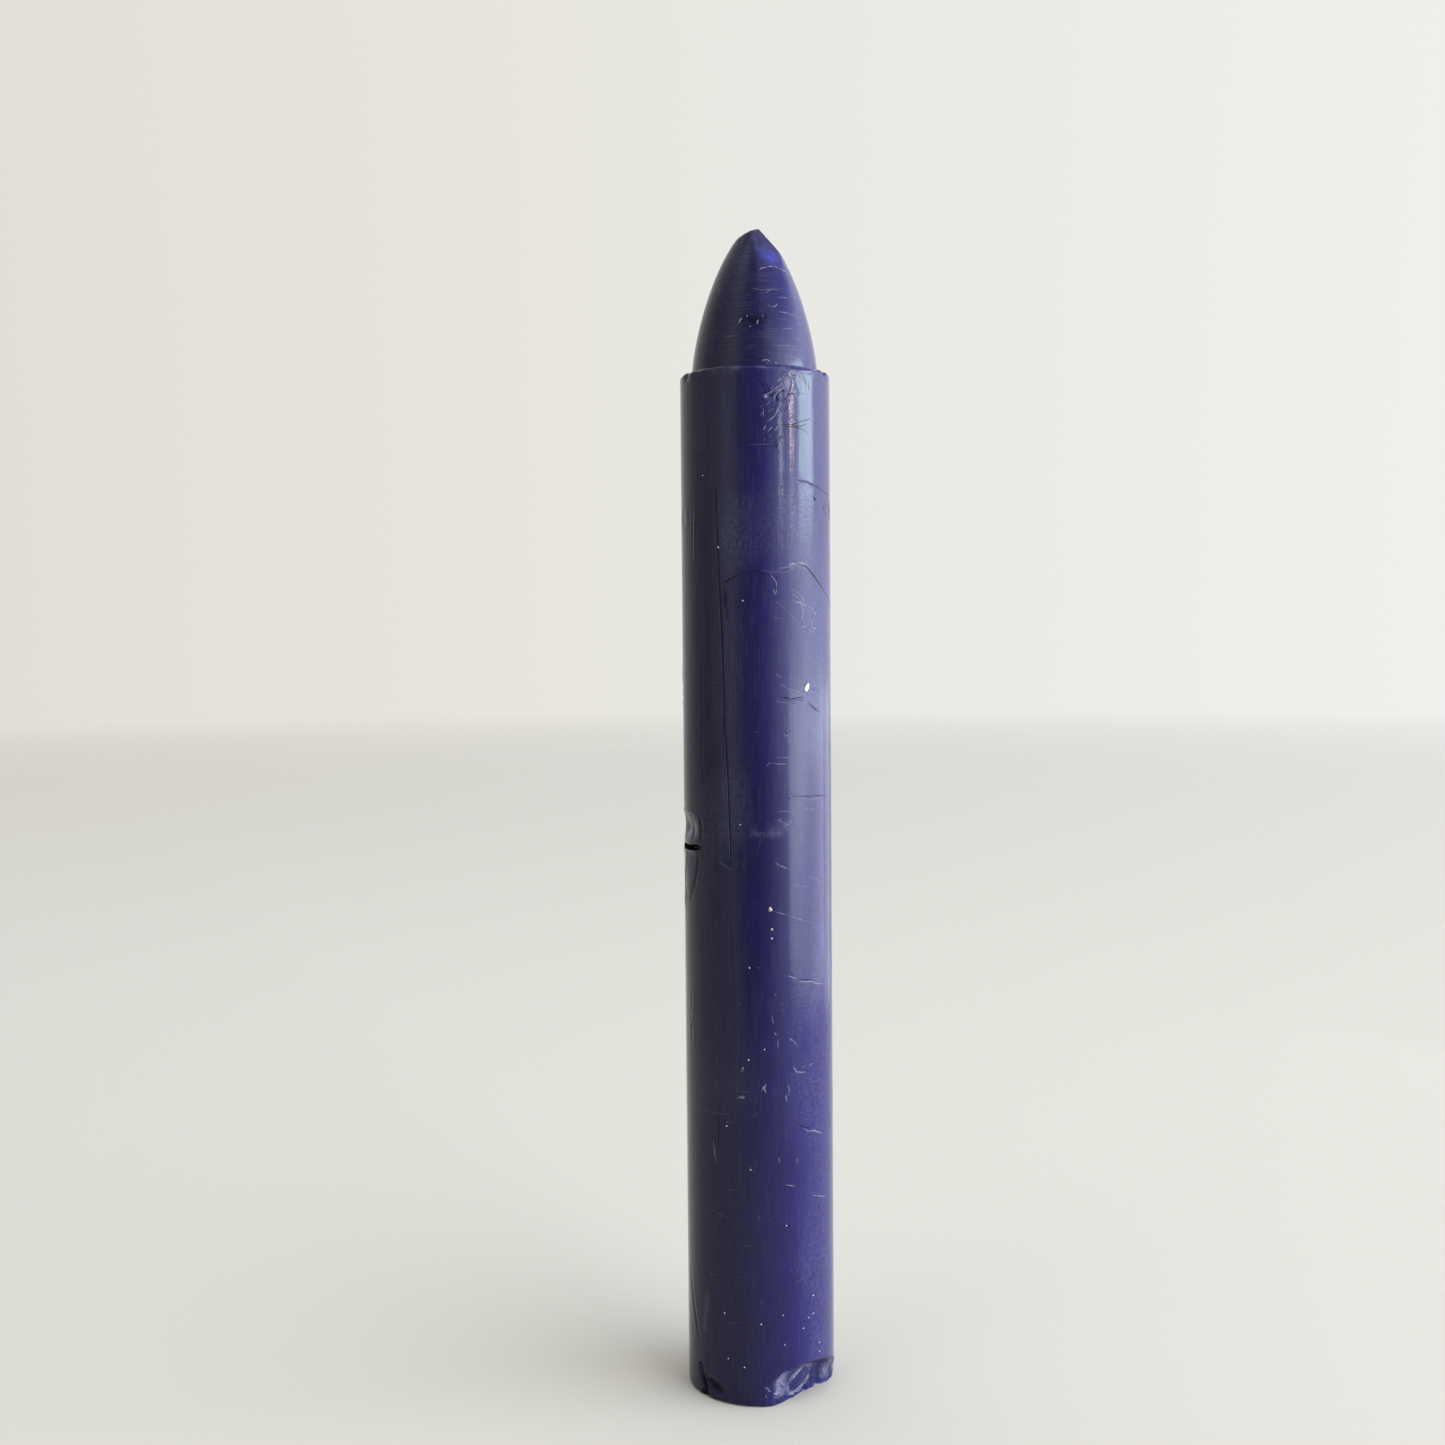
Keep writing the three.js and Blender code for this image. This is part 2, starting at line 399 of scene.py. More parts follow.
def nose_marks(skin):
    """The scraped lip under the front flat of the tip, and the pits and scuffs below it."""
    # Painted highlight and shade: the lip's burrs are pale where it glints, and the pits under it are
    # darkened.
    lip = [(6, 86.05), (12, 86.25), (20, 86.38), (32, 86.46), (40, 86.39), (50, 86.27), (60, 86.1)]
    scratches(skin, [lip[:3], lip[2:5], lip[4:], [(52, 86.0), (57, 85.7)]],
              width=0.05, height=0.06, haze=0.9)
    for bearing, height in ((15, 86.05), (26, 86.1), (39, 86.05), (52, 85.95)):
        dent(skin, (bearing, height), 0.18, 0.09, 0.04, grime=0.5)
    groove(skin, [(4, 86.5), (14, 86.75), (30, 86.85), (50, 86.7), (62, 86.4)], 0.10, 0.03, grime=0.2)
    dent(skin, (-2, 82.15), 0.66, 0.36, 0.12, lean=-8, rim=0.15, grime=1.0)
    dent(skin, (11, 82.4), 0.12, 0.20, 0.04, grime=0.9)
    scratches(skin, [
        [(4.2, 82.2), (3.2, 82.0), (2.8, 81.8)], [(-15.5, 81.95), (-14.5, 82.15), (-12.5, 82.35)],
        [(-8, 82.45), (-7, 82.5)], [(8.5, 82.5), (9, 82.45)], [(6, 82.9), (6.5, 82.85)],
        [(-5, 81.68), (-3, 81.66)],
    ], width=0.07, height=0.06, haze=0.9)
    scratches(skin, [
        [(14, 83.5), (16, 83.3), (19, 83.2), (22, 83.2), (25, 83.33), (27, 83.52)],
        [(26, 82.85), (36, 82.8)],
    ], haze=0.5)
    scratches(skin, [
        [(-4, 84.6), (10, 84.5), (28, 84.6)], [(14, 84.3), (22, 84.6), (32, 84.5)],
        [(30, 82.9), (44, 82.7), (59, 82.6)], [(-60, 85.3), (-52, 85.0), (-46, 84.4)],
        [(28, 81.6), (44, 81.6)], [(36, 80.9), (56, 80.8)], [(18, 80.2), (42, 80.3)],
        [(-30, 81.0), (-16, 81.0)], [(-50, 83.4), (-38, 83.5)], [(30, 84.0), (46, 84.0)],
    ], width=0.035, height=0.012, haze=0.4)
    scratches(skin, [
        [(6, 79.05), (10, 79.15), (14, 79.05)], [(9, 78.85), (12, 78.95)], [(18.5, 78.95), (19.5, 78.8)],
    ], width=0.08, height=0.08, haze=1.0)


def upper_scuff(skin):
    """The star of fine creases under the ledge, where something has pressed and dragged the wax:
    short strokes that lean the same way, drawn from a seeded draw, among the ones that stand out."""
    draw = np.random.default_rng(SEED + 1)
    for number in range(44):
        height = draw.uniform(72.4, 77.8)
        bearing = 14 + (height - 75) * 2.4 + draw.normal(0, 5.5)
        path = stroke(bearing, height, draw.uniform(0.25, 0.8), math.radians(draw.normal(58, 22)))
        if number % 2:
            creases(skin, [path], width=draw.uniform(0.025, 0.05))
        else:
            scratches(skin, [path], width=draw.uniform(0.025, 0.045), haze=draw.uniform(0.15, 0.6))
    scratches(skin, [
        [(6, 76.4), (12, 76.6), (20, 77.3), (24, 77.5)], [(14, 76.6), (27, 77.3), (33, 77.5)],
        [(13, 76.3), (23, 77.0)], [(15, 74.9), (18, 75.55)], [(11, 74.5), (16, 75.1)],
        [(6, 73.8), (8, 74.2)],
        [(10, 73.7), (13, 74.2)], [(16, 74.3), (20, 74.8)], [(15, 73.8), (17, 74.1)],
        [(24, 78.0), (26, 78.2), (30, 78.25), (35, 78.0), (37, 77.7), (32, 77.4), (29, 77.5), (26, 77.8)],
        [(40, 77.9), (42, 77.3), (41, 76.6)], [(44, 77.6), (45, 76.9)],
    ], haze=0.9)
    creases(skin, [
        [(2, 77.7), (6, 77.1), (8, 76.85)], [(8, 77.3), (11, 76.8), (6, 76.5)],
        [(24, 76.4), (27, 76.85), (28, 77.1)],
        [(24, 76.3), (27, 76.6), (33, 76.6)], [(27, 75.9), (26, 76.2)], [(39, 78.0), (41.5, 77.5)],
        [(27, 78.1), (30, 77.9), (33, 78.0)],
    ], width=0.05)
    dent(skin, (16, 76.15), 0.09, 0.20, 0.05, grime=1.0)
    dent(skin, (11, 76.5), 0.08, 0.14, 0.03, grime=0.9)
    dent(skin, (8, 76.3), 0.12, 0.11, -0.05, haze=1.0)
    patch = between(skin, (22, 76.4), (42, 78.2), 0.4)
    patch = patch * smooth(-0.4, 0.5, grain(skin.points(), 0.45, 11))
    skin.push -= 0.02 * patch
    skin.at_least("haze", 0.45 * patch)


def middle_marks(skin):
    """The loops and squiggles pressed below the long crack, and the marks down to the gouge."""
    scratches(skin, [
        [(25, 62.4), (28, 62.05), (32, 61.9), (37, 61.5), (39, 61.0), (37, 60.45), (36, 59.9),
         (39, 59.35), (45, 59.5), (50, 60.2), (47, 60.7), (42, 60.85)],
        [(27, 61.35), (34, 61.1), (42, 60.9)], [(35, 59.35), (42, 59.15), (50, 58.9)],
        [(58, 61.1), (52, 60.55), (48, 60.2)], [(44, 59.5), (48, 59.1), (52, 59.3)],
        [(28, 61.8), (33, 61.45), (36, 61.0), (36, 60.6)],
    ], width=0.065, height=0.035, haze=1.0)
    for number in range(12):
        bearing = 14 + 1.4 * number
        start = 61.3 - 0.13 * number
        scratches(skin, [[(bearing, start), (bearing + 2.5, start - 0.18)]],
                  width=0.03, height=0.012, haze=0.4)
    for path in (
        [(15, 54.25), (20, 54.1), (26, 53.98), (38, 54.07)],
        [(41, 53.8), (45, 53.4), (49, 53.15), (56, 52.9)],
    ):
        groove(skin, path, 0.10, 0.012, lip=0)
        creases(skin, [path], width=0.05)
    scratches(skin, [
        [(14, 54.0), (16, 53.75), (26, 53.62), (34, 53.8), (39, 53.85)],
        [(17, 55.1), (26, 54.6), (38, 54.4)], [(14, 55.9), (19, 55.45)], [(14, 49.6), (29, 49.55)],
        [(10, 49.17), (26, 49.05)], [(7, 48.95), (10, 49.3)],
        [(41, 46.27), (57, 46.3)], [(14, 45.53), (33, 45.6), (51, 45.55)],
        [(20, 51.4), (22, 51.15), (26, 51.4)],
        [(15, 45.1), (18, 44.78), (23, 44.5), (28, 44.65)], [(13, 44.95), (18, 44.7)],
        [(33, 43.9), (37, 43.55)],
    ], haze=0.7)
    creases(skin, [
        [(26, 46.66), (46, 46.55), (69, 46.42)], [(23, 46.65), (26, 46.4)], [(21, 51.5), (23, 51.3)],
        [(14, 52.2), (14, 52.05)],
    ], width=0.035)
    scuffed(skin, (50, 54.3), 0.4, 0.35, 7)
    scuffed(skin, (26, 44.6), 0.5, 0.35, 7)
    matt = between(skin, (-6, 43.75), (26, 44.75), 0.30)
    matt = matt * smooth(-0.6, 0.3, grain(skin.points(), (0.9, 0.9, 0.5), 14))
    skin.push -= 0.004 * matt
    skin.at_least("haze", 0.40 * matt)


def scuffed(skin, spot, across, upright, count):
    """A light scuff: short pale burrs that all lean about the same way, from a seeded draw, within
    half widths across and upright of a spot."""
    draw = np.random.default_rng(SEED + int(10 * spot[1]))
    for _ in range(count):
        bearing = spot[0] + math.degrees(draw.uniform(-across, across) / BARREL_RADIUS)
        height = spot[1] + draw.uniform(-upright, upright)
        path = stroke(bearing, height, draw.uniform(0.15, 0.45), math.radians(draw.normal(50, 30)))
        scratches(skin, [path], width=draw.uniform(0.02, 0.04), haze=draw.uniform(0.2, 0.6))


def lower_marks(skin):
    """Short scratches, scuffs and dirt lines, most of them between the gouge and the foot, a torn
    strip on the left of the foot, and pale and dark pricks all over."""
    scratches(skin, [
        [(12, 41.7), (25, 41.1)], [(25, 40.0), (41, 39.7)], [(40, 40.55), (53, 40.0), (55, 39.45)],
        [(11, 38.1), (25, 37.6), (41, 37.0), (49, 36.8)], [(31, 32.85), (30, 32.6)],
        [(10, 30.2), (10, 29.85), (11, 29.5)], [(11, 28.9), (13, 28.6)], [(14, 28.3), (14, 27.6)],
        [(12, 31.8), (13, 31.6)], [(14, 19.3), (15, 18.9)], [(29, 19.1), (29, 18.65)],
        [(19, 17.2), (28, 16.9)], [(43, 15.95), (61, 15.35)], [(-38, 20.3), (-36, 18.6)],
    ], haze=0.7)
    scratches(skin, [
        [(22, 33.1), (30, 32.8)], [(31, 32.62), (39, 32.45), (44, 32.45), (49, 32.15), (59, 32.0)],
        [(23, 28.35), (27, 28.05), (30, 27.6)], [(1, 24.4), (3, 24.8), (5, 24.25)],
        [(22, 24.8), (23, 24.4), (22, 23.95)], [(20, 24.05), (21, 23.5)], [(5, 25.0), (3, 24.5)],
        [(-17, 23.8), (-15, 23.95), (-12, 23.85), (-12, 24.1)], [(-14, 25.9), (-12, 26.25)],
        [(35, 21.3), (40, 20.95), (46, 20.9), (52, 20.6), (57, 20.4)],
        [(26, 26.2), (29, 25.7), (38, 25.55)],
        [(41, 26.0), (45, 26.1)], [(-60, 30.3), (-66, 28.2)],
    ], width=0.055, height=0.035, haze=0.9)
    scratches(skin, [[(31, 32.62), (39, 32.47), (44, 32.45), (49, 32.17), (57, 32.05)]],
              width=0.08, height=0.05)
    creases(skin, [
        [(31, 32.75), (40, 32.6), (46, 32.55)], [(28, 28.7), (29, 28.2)],
        [(28, 21.8), (35, 21.4), (44, 21.1)], [(-7, 29.6), (-7.5, 31.2), (-8, 34)],
        [(-33, 23.5), (-33, 19)],
    ], width=0.035)
    scuffed(skin, (34, 25.9), 0.60, 0.30, 12)
    scuffed(skin, (-4, 22.9), 0.14, 0.7, 5)
    scuffed(skin, (-25, 21.5), 0.25, 0.3, 5)
    scuffed(skin, (-7, 18.3), 0.25, 0.15, 5)
    scuffed(skin, (18, 30.9), 0.2, 0.8, 4)
    scuffed(skin, (47, 20.6), 0.5, 0.2, 6)
    groove(skin, [(-72, 9.5), (-65, 7.0), (-58, 4.9), (-54, 4.2)], 0.16, 0.05, lip=0.6, grime=0.4)
    ridge(skin, [(-45, 8.6), (-46, 6.6), (-50, 4.9)], 0.20, 0.05, haze=0.3)
    pricks = [(16, 48.6), (0, 33.8), (34, 22.5), (4, 27.6), (51, 27.2), (-12, 25.9), (62, 15.4), (16, 16.6),
              (-1, 14.7), (-24, 12.8), (1, 8.1), (-15, 31.0), (8, 12.0), (24, 10.5)]
    for bearing, height in pricks:
        scratches(skin, [[(bearing - 0.5, height), (bearing + 0.5, height + 0.03)]], haze=0.5)
    for bearing, height in ((22, 13.95), (19, 7.2), (64, 43.4), (-3, 47.0), (53, 10.4), (50, 14.9)):
        creases(skin, [[(bearing, height - 0.12), (bearing + 0.3, height + 0.12)]], width=0.06)


def hair_lines(skin):
    """The faintest scratches, all over the front, most of them nearly level and the rest nearly
    upright, from a seeded draw."""
    draw = np.random.default_rng(SEED + 2)
    for number in range(90):
        bearing, height = draw.uniform(-60, 84), draw.uniform(4, 77)
        length = draw.uniform(0.4, 2.4)
        path = stroke(bearing, height, length, math.radians(draw.normal(0 if number % 3 else 88, 9)))
        scratches(skin, [path], width=draw.uniform(0.015, 0.03), height=0.01, haze=draw.uniform(0.1, 0.4))


def stray_marks(skin):
    """Short scratches and dings round the other side, so that none is clean, placed by a seeded
    draw."""
    draw = np.random.default_rng(SEED)
    for _ in range(70):
        bearing, height = draw.uniform(95, 265), draw.uniform(3, 76)
        length, lean = draw.uniform(0.5, 3.2), draw.normal(0, 0.6)
        swing = math.degrees(length * math.cos(lean) / BARREL_RADIUS)
        path = [(bearing, height), (bearing + swing / 2, height + length * math.sin(lean) / 2),
                (bearing + swing, height + length * math.sin(lean))]
        groove(skin, path, draw.uniform(0.12, 0.22), draw.uniform(0.01, 0.05), lip=0.8,
               haze=draw.uniform(0.1, 0.6), fade=0.25)
    for _ in range(40):
        spot = (draw.uniform(95, 265), draw.uniform(2, 77))
        dent(skin, spot, draw.uniform(0.15, 0.5), draw.uniform(0.15, 0.4), draw.uniform(0.01, 0.035),
             lean=draw.uniform(-40, 40), rim=0.7, haze=draw.uniform(0, 0.4))


def thumb_gouge(skin):
    """A nail pushed down into the side: the bowl it scooped, the slit where it stopped, painted dark as
    shade, and the tongue of wax torn below. The bowl is painted paler towards the stick's left edge,
    as painted reflection."""
    dent(skin, (-78, 44.0), 1.35, 0.80, 0.50)
    dent(skin, (-60, 43.9), 0.45, 0.70, 0.14)
    inside = between(skin, (-100, 42.9), (-49, 45.2), 0.15)
    skin.at_least("dull", inside)
    skin.at_least("faded_and_lit", 0.25 * inside)
    # Painted reflection: the bowl grows paler towards the stick's left edge.
    skin.at_least("haze", 0.5 * inside * smooth(-52, -72, turned(skin.bearing)))
    ridge(skin, [(-92, 45.2), (-80, 45.3), (-66, 45.3), (-52, 45.0)], 0.09, 0.05, haze=0.8)
    groove(skin, [(-49, 45.0), (-48, 44.0), (-49, 43.1)], 0.13, 0.08, lip=0.6, grime=0.6)
    slit = [(-100, 42.5), (-84, 42.45), (-68, 42.45), (-50, 42.65)]
    groove(skin, slit[1:], 0.17, 0.60, lip=0.04, fade=0.12)
    gap, _ = skin.from_line(slit)
    # Painted shade: the slit is coloured dark and loses its pale marks.
    painted_slit_shade = smooth(0.26, 0.16, gap)
    skin.at_least("grime", painted_slit_shade)
    skin.haze = skin.haze * (1 - painted_slit_shade)
    ridge(skin, [(-90, 42.12), (-72, 42.07), (-58, 42.15), (-52, 42.2)], 0.08, 0.04, haze=0.5)
    dent(skin, (-70, 40.9), 0.9, 1.4, -0.05, haze=0.30)
    groove(skin, [(-51, 42.2), (-53, 41.2), (-57, 40.0), (-62, 39.2), (-67, 38.4)], 0.10, 0.09, grime=1.0)
    groove(skin, [(-69, 42.2), (-71, 41.5), (-70, 40.8)], 0.10, 0.07, grime=0.9)
    groove(skin, [(-77, 41.0), (-76, 39.6), (-70, 38.4)], 0.12, 0.05, grime=0.7)
    dent(skin, (-80, 38.3), 0.35, 0.6, -0.05, haze=0.3)


def edge_damage(skin):
    """Nicks in the rim and up both flanks."""
    spots = skin.points()
    near_rim = np.exp(-(((skin.z - LEDGE_HEIGHT) / 0.35) ** 2)) * (skin.r > NOSE_BASE_RADIUS + 0.25)
    skin.push += near_rim * (0.09 * grain(spots, 1.6, 21) + 0.05 * grain(spots, 0.5, 22))
    skin.at_least("haze", 0.35 * near_rim * smooth(-0.2, 0.6, grain(spots, 0.9, 23)))
    dent(skin, (-63, 78.3), 0.35, 0.3, 0.14, haze=0.3)
    dent(skin, (67, 78.5), 0.30, 0.40, 0.22, grime=0.7)
    dent(skin, (-72, 67.6), 0.5, 0.35, 0.06, rim=0.5)
    groove(skin, [(-55, 68.2), (-56, 66.3), (-56, 64.4)], 0.10, 0.03, lip=0.8, haze=0.4)
    dent(skin, (76, 68.1), 0.25, 0.7, 0.06, rim=0.4, grime=0.4)
    for bearing, height in ((-64, 30.5), (-66, 29.2), (-64, 28.0)):
        dent(skin, (bearing, height), 0.25, 0.35, 0.04, rim=0.7, haze=0.3)


# ------------------------------------------------------------------ bites, flats and the finished skin

# The big bite in the foot, by bearing: the height of its upper edge, and how far in the wax has gone
# at the base. Both run straight between these.
BITE_EDGE = [(-3, 0.3), (0, 1.15), (3, 1.6), (10, 2.15), (18, 2.72), (28, 2.98), (40, 3.0), (55, 2.8),
             (68, 2.45), (76, 2.05), (84, 1.6), (92, 0.9), (96, 0.3)]
BITE_DEPTH = [(-3, 0.0), (0, 0.02), (3, 0.06), (8, 0.20), (13, 0.42), (18, 0.70), (24, 0.98), (30, 1.18),
              (38, 1.36), (48, 1.48), (58, 1.40), (68, 1.08), (77, 0.66), (86, 0.25), (94, 0.0)]

# The ring that a flake left in that bite: a dome, the moat round it and a low rim outside that,
# each as (how far out in half sizes, its width, how far it goes in, in millimetres).
RING_SPOT = (42, 1.28)
RING_HALF_SIZES = (1.50, 0.66)
RING_TILT = 14
RING_WAVES = [(0.0, 0.75, -0.20), (1.10, 0.20, 0.10), (1.50, 0.18, -0.06)]

# Upright ribs and hollows beside the ring, as (bearing, width, how far in).
BITE_RIBS = [(69, 0.34, 0.26), (77, 0.45, -0.10)]

# A small round bite on the other side, as an ellipsoid: its bearing and height, how far its middle
# stands outside the wall, and its half sizes inwards, round the stick and upwards.
SMALL_BITE = (-49, 0.1, 0.30, 0.55, 0.55, 0.75)

# The flats that writing has worn on the tip: the bearing each slopes down towards, and its slant.
TIP_FLATS = [(-90, 26.5), (90, 50.5), (165, 45)]
FRONT_FLAT = (38, 53)
# The flats draw the nose in from this height up, towards a point on the axis there, and meet at a
# peak this far to the right of the axis.
WORN_FROM = 84.5
WORN_PEAK_OFFSET = 0.38


def bitten_radius(bearing, height, bite):
    """How far out the wax still reaches at a bearing and height: where the level ray from the axis
    enters the ellipsoid, which is the smaller root of a quadratic, or no limit where it misses."""
    towards, level, outside, inwards, around, upwards = bite
    off = np.radians(turned(bearing - towards))
    reach = BARREL_RADIUS + outside
    a = (np.sin(off) / around) ** 2 + (np.cos(off) / inwards) ** 2
    b = -2 * reach * np.cos(off) / inwards**2
    c = (reach / inwards) ** 2 + ((height - level) / upwards) ** 2 - 1
    inside = b * b - 4 * a * c
    hit = (inside > 0) & (np.cos(off) > 0)
    root = (-b - np.sqrt(np.maximum(inside, 0))) / (2 * a)
    return np.where(hit, root, 1e3)


def ring_oval(skin):
    """How far each point is from the middle of the flake's ring, in its own tilted half sizes."""
    x, up = skin.from_spot(*RING_SPOT)
    tilt = math.radians(RING_TILT)
    return np.hypot((x * math.cos(tilt) + up * math.sin(tilt)) / RING_HALF_SIZES[0],
                    (up * math.cos(tilt) - x * math.sin(tilt)) / RING_HALF_SIZES[1])


def painted_bite_highlights(skin, z):
    """Where the big bite is painted pale as highlights and reflections, from 0 to 1: the top and left
    of the ring, a crescent beside it, and a facet and a sharp end on its right."""
    bearing = turned(skin.bearing)
    oval = ring_oval(skin)
    above = smooth(-0.4, 0.5, (z - RING_SPOT[1]) - 0.012 * (bearing - RING_SPOT[0]))
    left = smooth(34, 20, bearing)
    ring = np.exp(-(((oval - 1.18) / 0.14) ** 2)) * np.maximum(above, left)
    crescent = smooth(1.25, 1.35, oval) * smooth(0.35, 0.9, z)
    crescent = crescent * smooth(9, 14, bearing) * smooth(27, 15, bearing)
    facet = 0.7 * smooth(0.1, 0.7, z) * smooth(1.9, 1.2, z)
    facet = facet * smooth(71, 74, bearing) * smooth(81, 77, bearing)
    end = smooth(85, 87, bearing) * smooth(0.6, 0.9, z)
    patches = 0.92 + 0.08 * grain(skin.points(), 0.35, 35)
    return np.maximum.reduce([ring, crescent, facet, end]) * patches


def bite_depth(skin, z):
    """How far in the big bite goes at each point, and how surely the point is in it, from 0 to 1.
    The depth is the one at the base x (1 - share of the edge's height ^ 6), then the ring, the
    ribs, and small ragged steps near the base."""
    bearing = turned(skin.bearing)
    edge = np.interp(bearing, *np.transpose(BITE_EDGE), left=0.01, right=0.01)
    depth = np.interp(bearing, *np.transpose(BITE_DEPTH), left=0, right=0)
    share = np.clip(z / edge, 0, 1)
    depth = depth * (1 - share**6)
    inside = smooth(0.0, 0.30, edge - z) * smooth(0.0, 0.25, depth)
    oval = ring_oval(skin)
    for reach, width, height in RING_WAVES:
        depth = depth + inside * height * np.exp(-(((oval - reach) / width) ** 2))
    for towards, width, height in BITE_RIBS:
        x, _ = skin.from_spot(towards, 0)
        depth = depth + inside * height * np.exp(-((x / width) ** 2))
    spots = skin.points()
    ragged = 0.09 * smooth(0.8, 0.2, z) * grain(spots, 0.45, 31) * smooth(1.1, 1.7, oval)
    return np.maximum(depth + inside * ragged, 0), inside


def bite_the_foot(skin, r, z):
    """Pulls the wall in to the bites, and draws the base disc in with it, ring by ring. The wax in
    the big bite is clean, painted pale in places as highlights, and torn near the base; the small
    one is painted dark as shade."""
    spots = skin.points()
    depth, inside = bite_depth(skin, z)
    limit = np.where(inside > 0, BARREL_RADIUS - depth, 1e3)
    small = bitten_radius(skin.bearing, z, SMALL_BITE) + 0.04 * grain(spots, 0.5, 33)
    limit = np.minimum(limit, small)
    painted_small_bite_shade = smooth(-0.02, 0.06, r - small)
    rings = FOOT_RINGS - 1
    edge = np.minimum(limit[rings], r[rings])
    wall = np.minimum(r, limit)
    wall[:rings] = r[:rings] * (edge / r[rings])[None, :]
    torn = inside * smooth(0.6, 0.1, z) * smooth(-0.2, 0.5, grain(spots, 0.4, 34))
    skin.raw = np.maximum(skin.raw * (1 - inside), 0.35 * torn)
    skin.haze = skin.haze * (1 - inside)
    skin.faded_and_lit = skin.faded_and_lit * (1 - inside) + 0.55 * inside
    skin.grime = skin.grime * (1 - inside)
    # Painted highlights and reflections in the big bite.
    skin.at_least("haze", inside * painted_bite_highlights(skin, z))
    # Painted shade: the small bite is coloured dark and loses its gloss.
    skin.at_least("grime", 0.85 * painted_small_bite_shade)
    return wall


def foot_marks(skin):
    """The slot beside the small bite and the hollow past it, both painted dark as shade, and the chips
    along the edge of the big bite: pale ones painted as glints, and a few bright blue ones."""
    # Painted shade: the slot and the hollow are coloured dark.
    groove(skin, [(-55.5, 2.6), (-54, 1.9), (-53, 1.5), (-50, 0.9), (-47, 0.4)], 0.17, 0.40,
           lip=0.05, grime=1.0, fade=0.1)
    dent(skin, (-38, 1.12), 1.0, 0.45, 0.26, lean=-14, grime=1.0)
    dent(skin, (-45, 1.35), 0.35, 0.40, 0.10, grime=1.0)
    # Painted glints: pale chips along the big bite's edge.
    scratches(skin, [
        [(2.5, 1.62), (4, 1.48), (6, 1.36)], [(4.5, 1.30), (7, 1.18)], [(9, 1.02), (12, 0.86), (15, 0.80)],
        [(12, 0.98), (13.5, 0.90)], [(17.5, 1.15), (20.5, 1.08)], [(80, 2.0), (83, 1.9), (86, 1.7)],
        [(82, 1.8), (85, 1.55)],
    ], width=0.075, height=0.05, haze=1.0)
    scratches(skin, [[(9, 0.68), (11, 0.60)], [(24, 0.98), (27.5, 0.96)], [(3, 0.95), (3.5, 0.75)]],
              width=0.07, height=0.04, haze=0.3, raw=1.0)


def tip_reach(points, peak, heart, flats, softness):
    """How far along the line from the heart to each point the flats let it go, as a share: the soft
    least of 1 and each flat's own share, -k ln(sum of e^(-share / k)) with softness k."""
    ray = points - heart
    total = np.full(points.shape[:-1], math.exp(-1 / softness))
    for towards, slant in flats:
        b, s = math.radians(towards), math.radians(slant)
        out = np.array([math.sin(s) * math.sin(b), -math.sin(s) * math.cos(b), math.cos(s)])
        facing = ray @ out
        share = ((peak - heart) @ out) / np.maximum(facing, 1e-6)
        total += np.where(facing > 0, np.exp(-np.minimum(share, 3) / softness), 0)
    return -softness * np.log(total)


def wear_the_tip(skin, points):
    """Draws the end of the nose in to the flats that writing has worn on it: the front one melts
    into the nose, and the others meet in a sharp peak. The worn wax is rough, and shows the
    stick's bright blue where it is cleanest. The top flat and the peak are painted dark and lose
    their gloss, as painted shade."""
    heart = np.array([0, 0, WORN_FROM])
    peak = np.array([WORN_PEAK_OFFSET, 0, PEAK_HEIGHT])
    above = skin.z > WORN_FROM
    reach = np.minimum(1, tip_reach(points, peak, heart, [FRONT_FLAT], 0.03) + 0.02)
    points = np.where(above[..., None], heart + (points - heart) * reach[..., None], points)
    crisp = tip_reach(points, peak, heart, TIP_FLATS, 0.0025)
    crisp = np.where(above, np.minimum(1, crisp), 1)
    points = heart + (points - heart) * crisp[..., None]
    worn = smooth(0.995, 0.97, np.minimum(reach, crisp)) * above
    drag = 0.014 * grain(points, (0.5, 0.5, 0.16), 41) + 0.008 * grain(points, 0.2, 42)
    away = (points - heart) / np.linalg.norm(points - heart, axis=-1)[..., None]
    points = points + (worn * drag)[..., None] * away
    x, up = skin.from_spot(34, 87.3)
    clean = np.exp(-((x / 0.85) ** 2) - (up / 0.70) ** 2) * smooth(86.3, 86.7, skin.z)
    flecked = smooth(-0.2, 0.6, grain(points, 0.3, 43))
    x, up = skin.from_spot(5, 87.4)
    flecks = np.exp(-((x / 0.8) ** 2) - (up / 0.35) ** 2) * smooth(0.2, 0.7, grain(points, 0.22, 44))
    skin.at_least("raw", np.maximum(clean * (0.30 + 0.30 * flecked), 0.3 * flecks))
    # Painted shade: the top flat and the peak are darkened, and the top flat is held to the darker violet.
    top = smooth(0.999, 0.985, crisp) * smooth(86.5, 87.5, skin.z)
    high = smooth(87.6, 88.9, skin.z)
    painted_tip_shade = np.maximum(0.45 * top, 0.5 * high) * smooth(-0.9, 0.2, grain(points, 0.35, 45))
    skin.at_least("grime", painted_tip_shade * (1 - skin.raw))
    skin.faded_and_lit = np.maximum(skin.faded_and_lit * (1 - 0.8 * top), 0.35 * high)
    return points


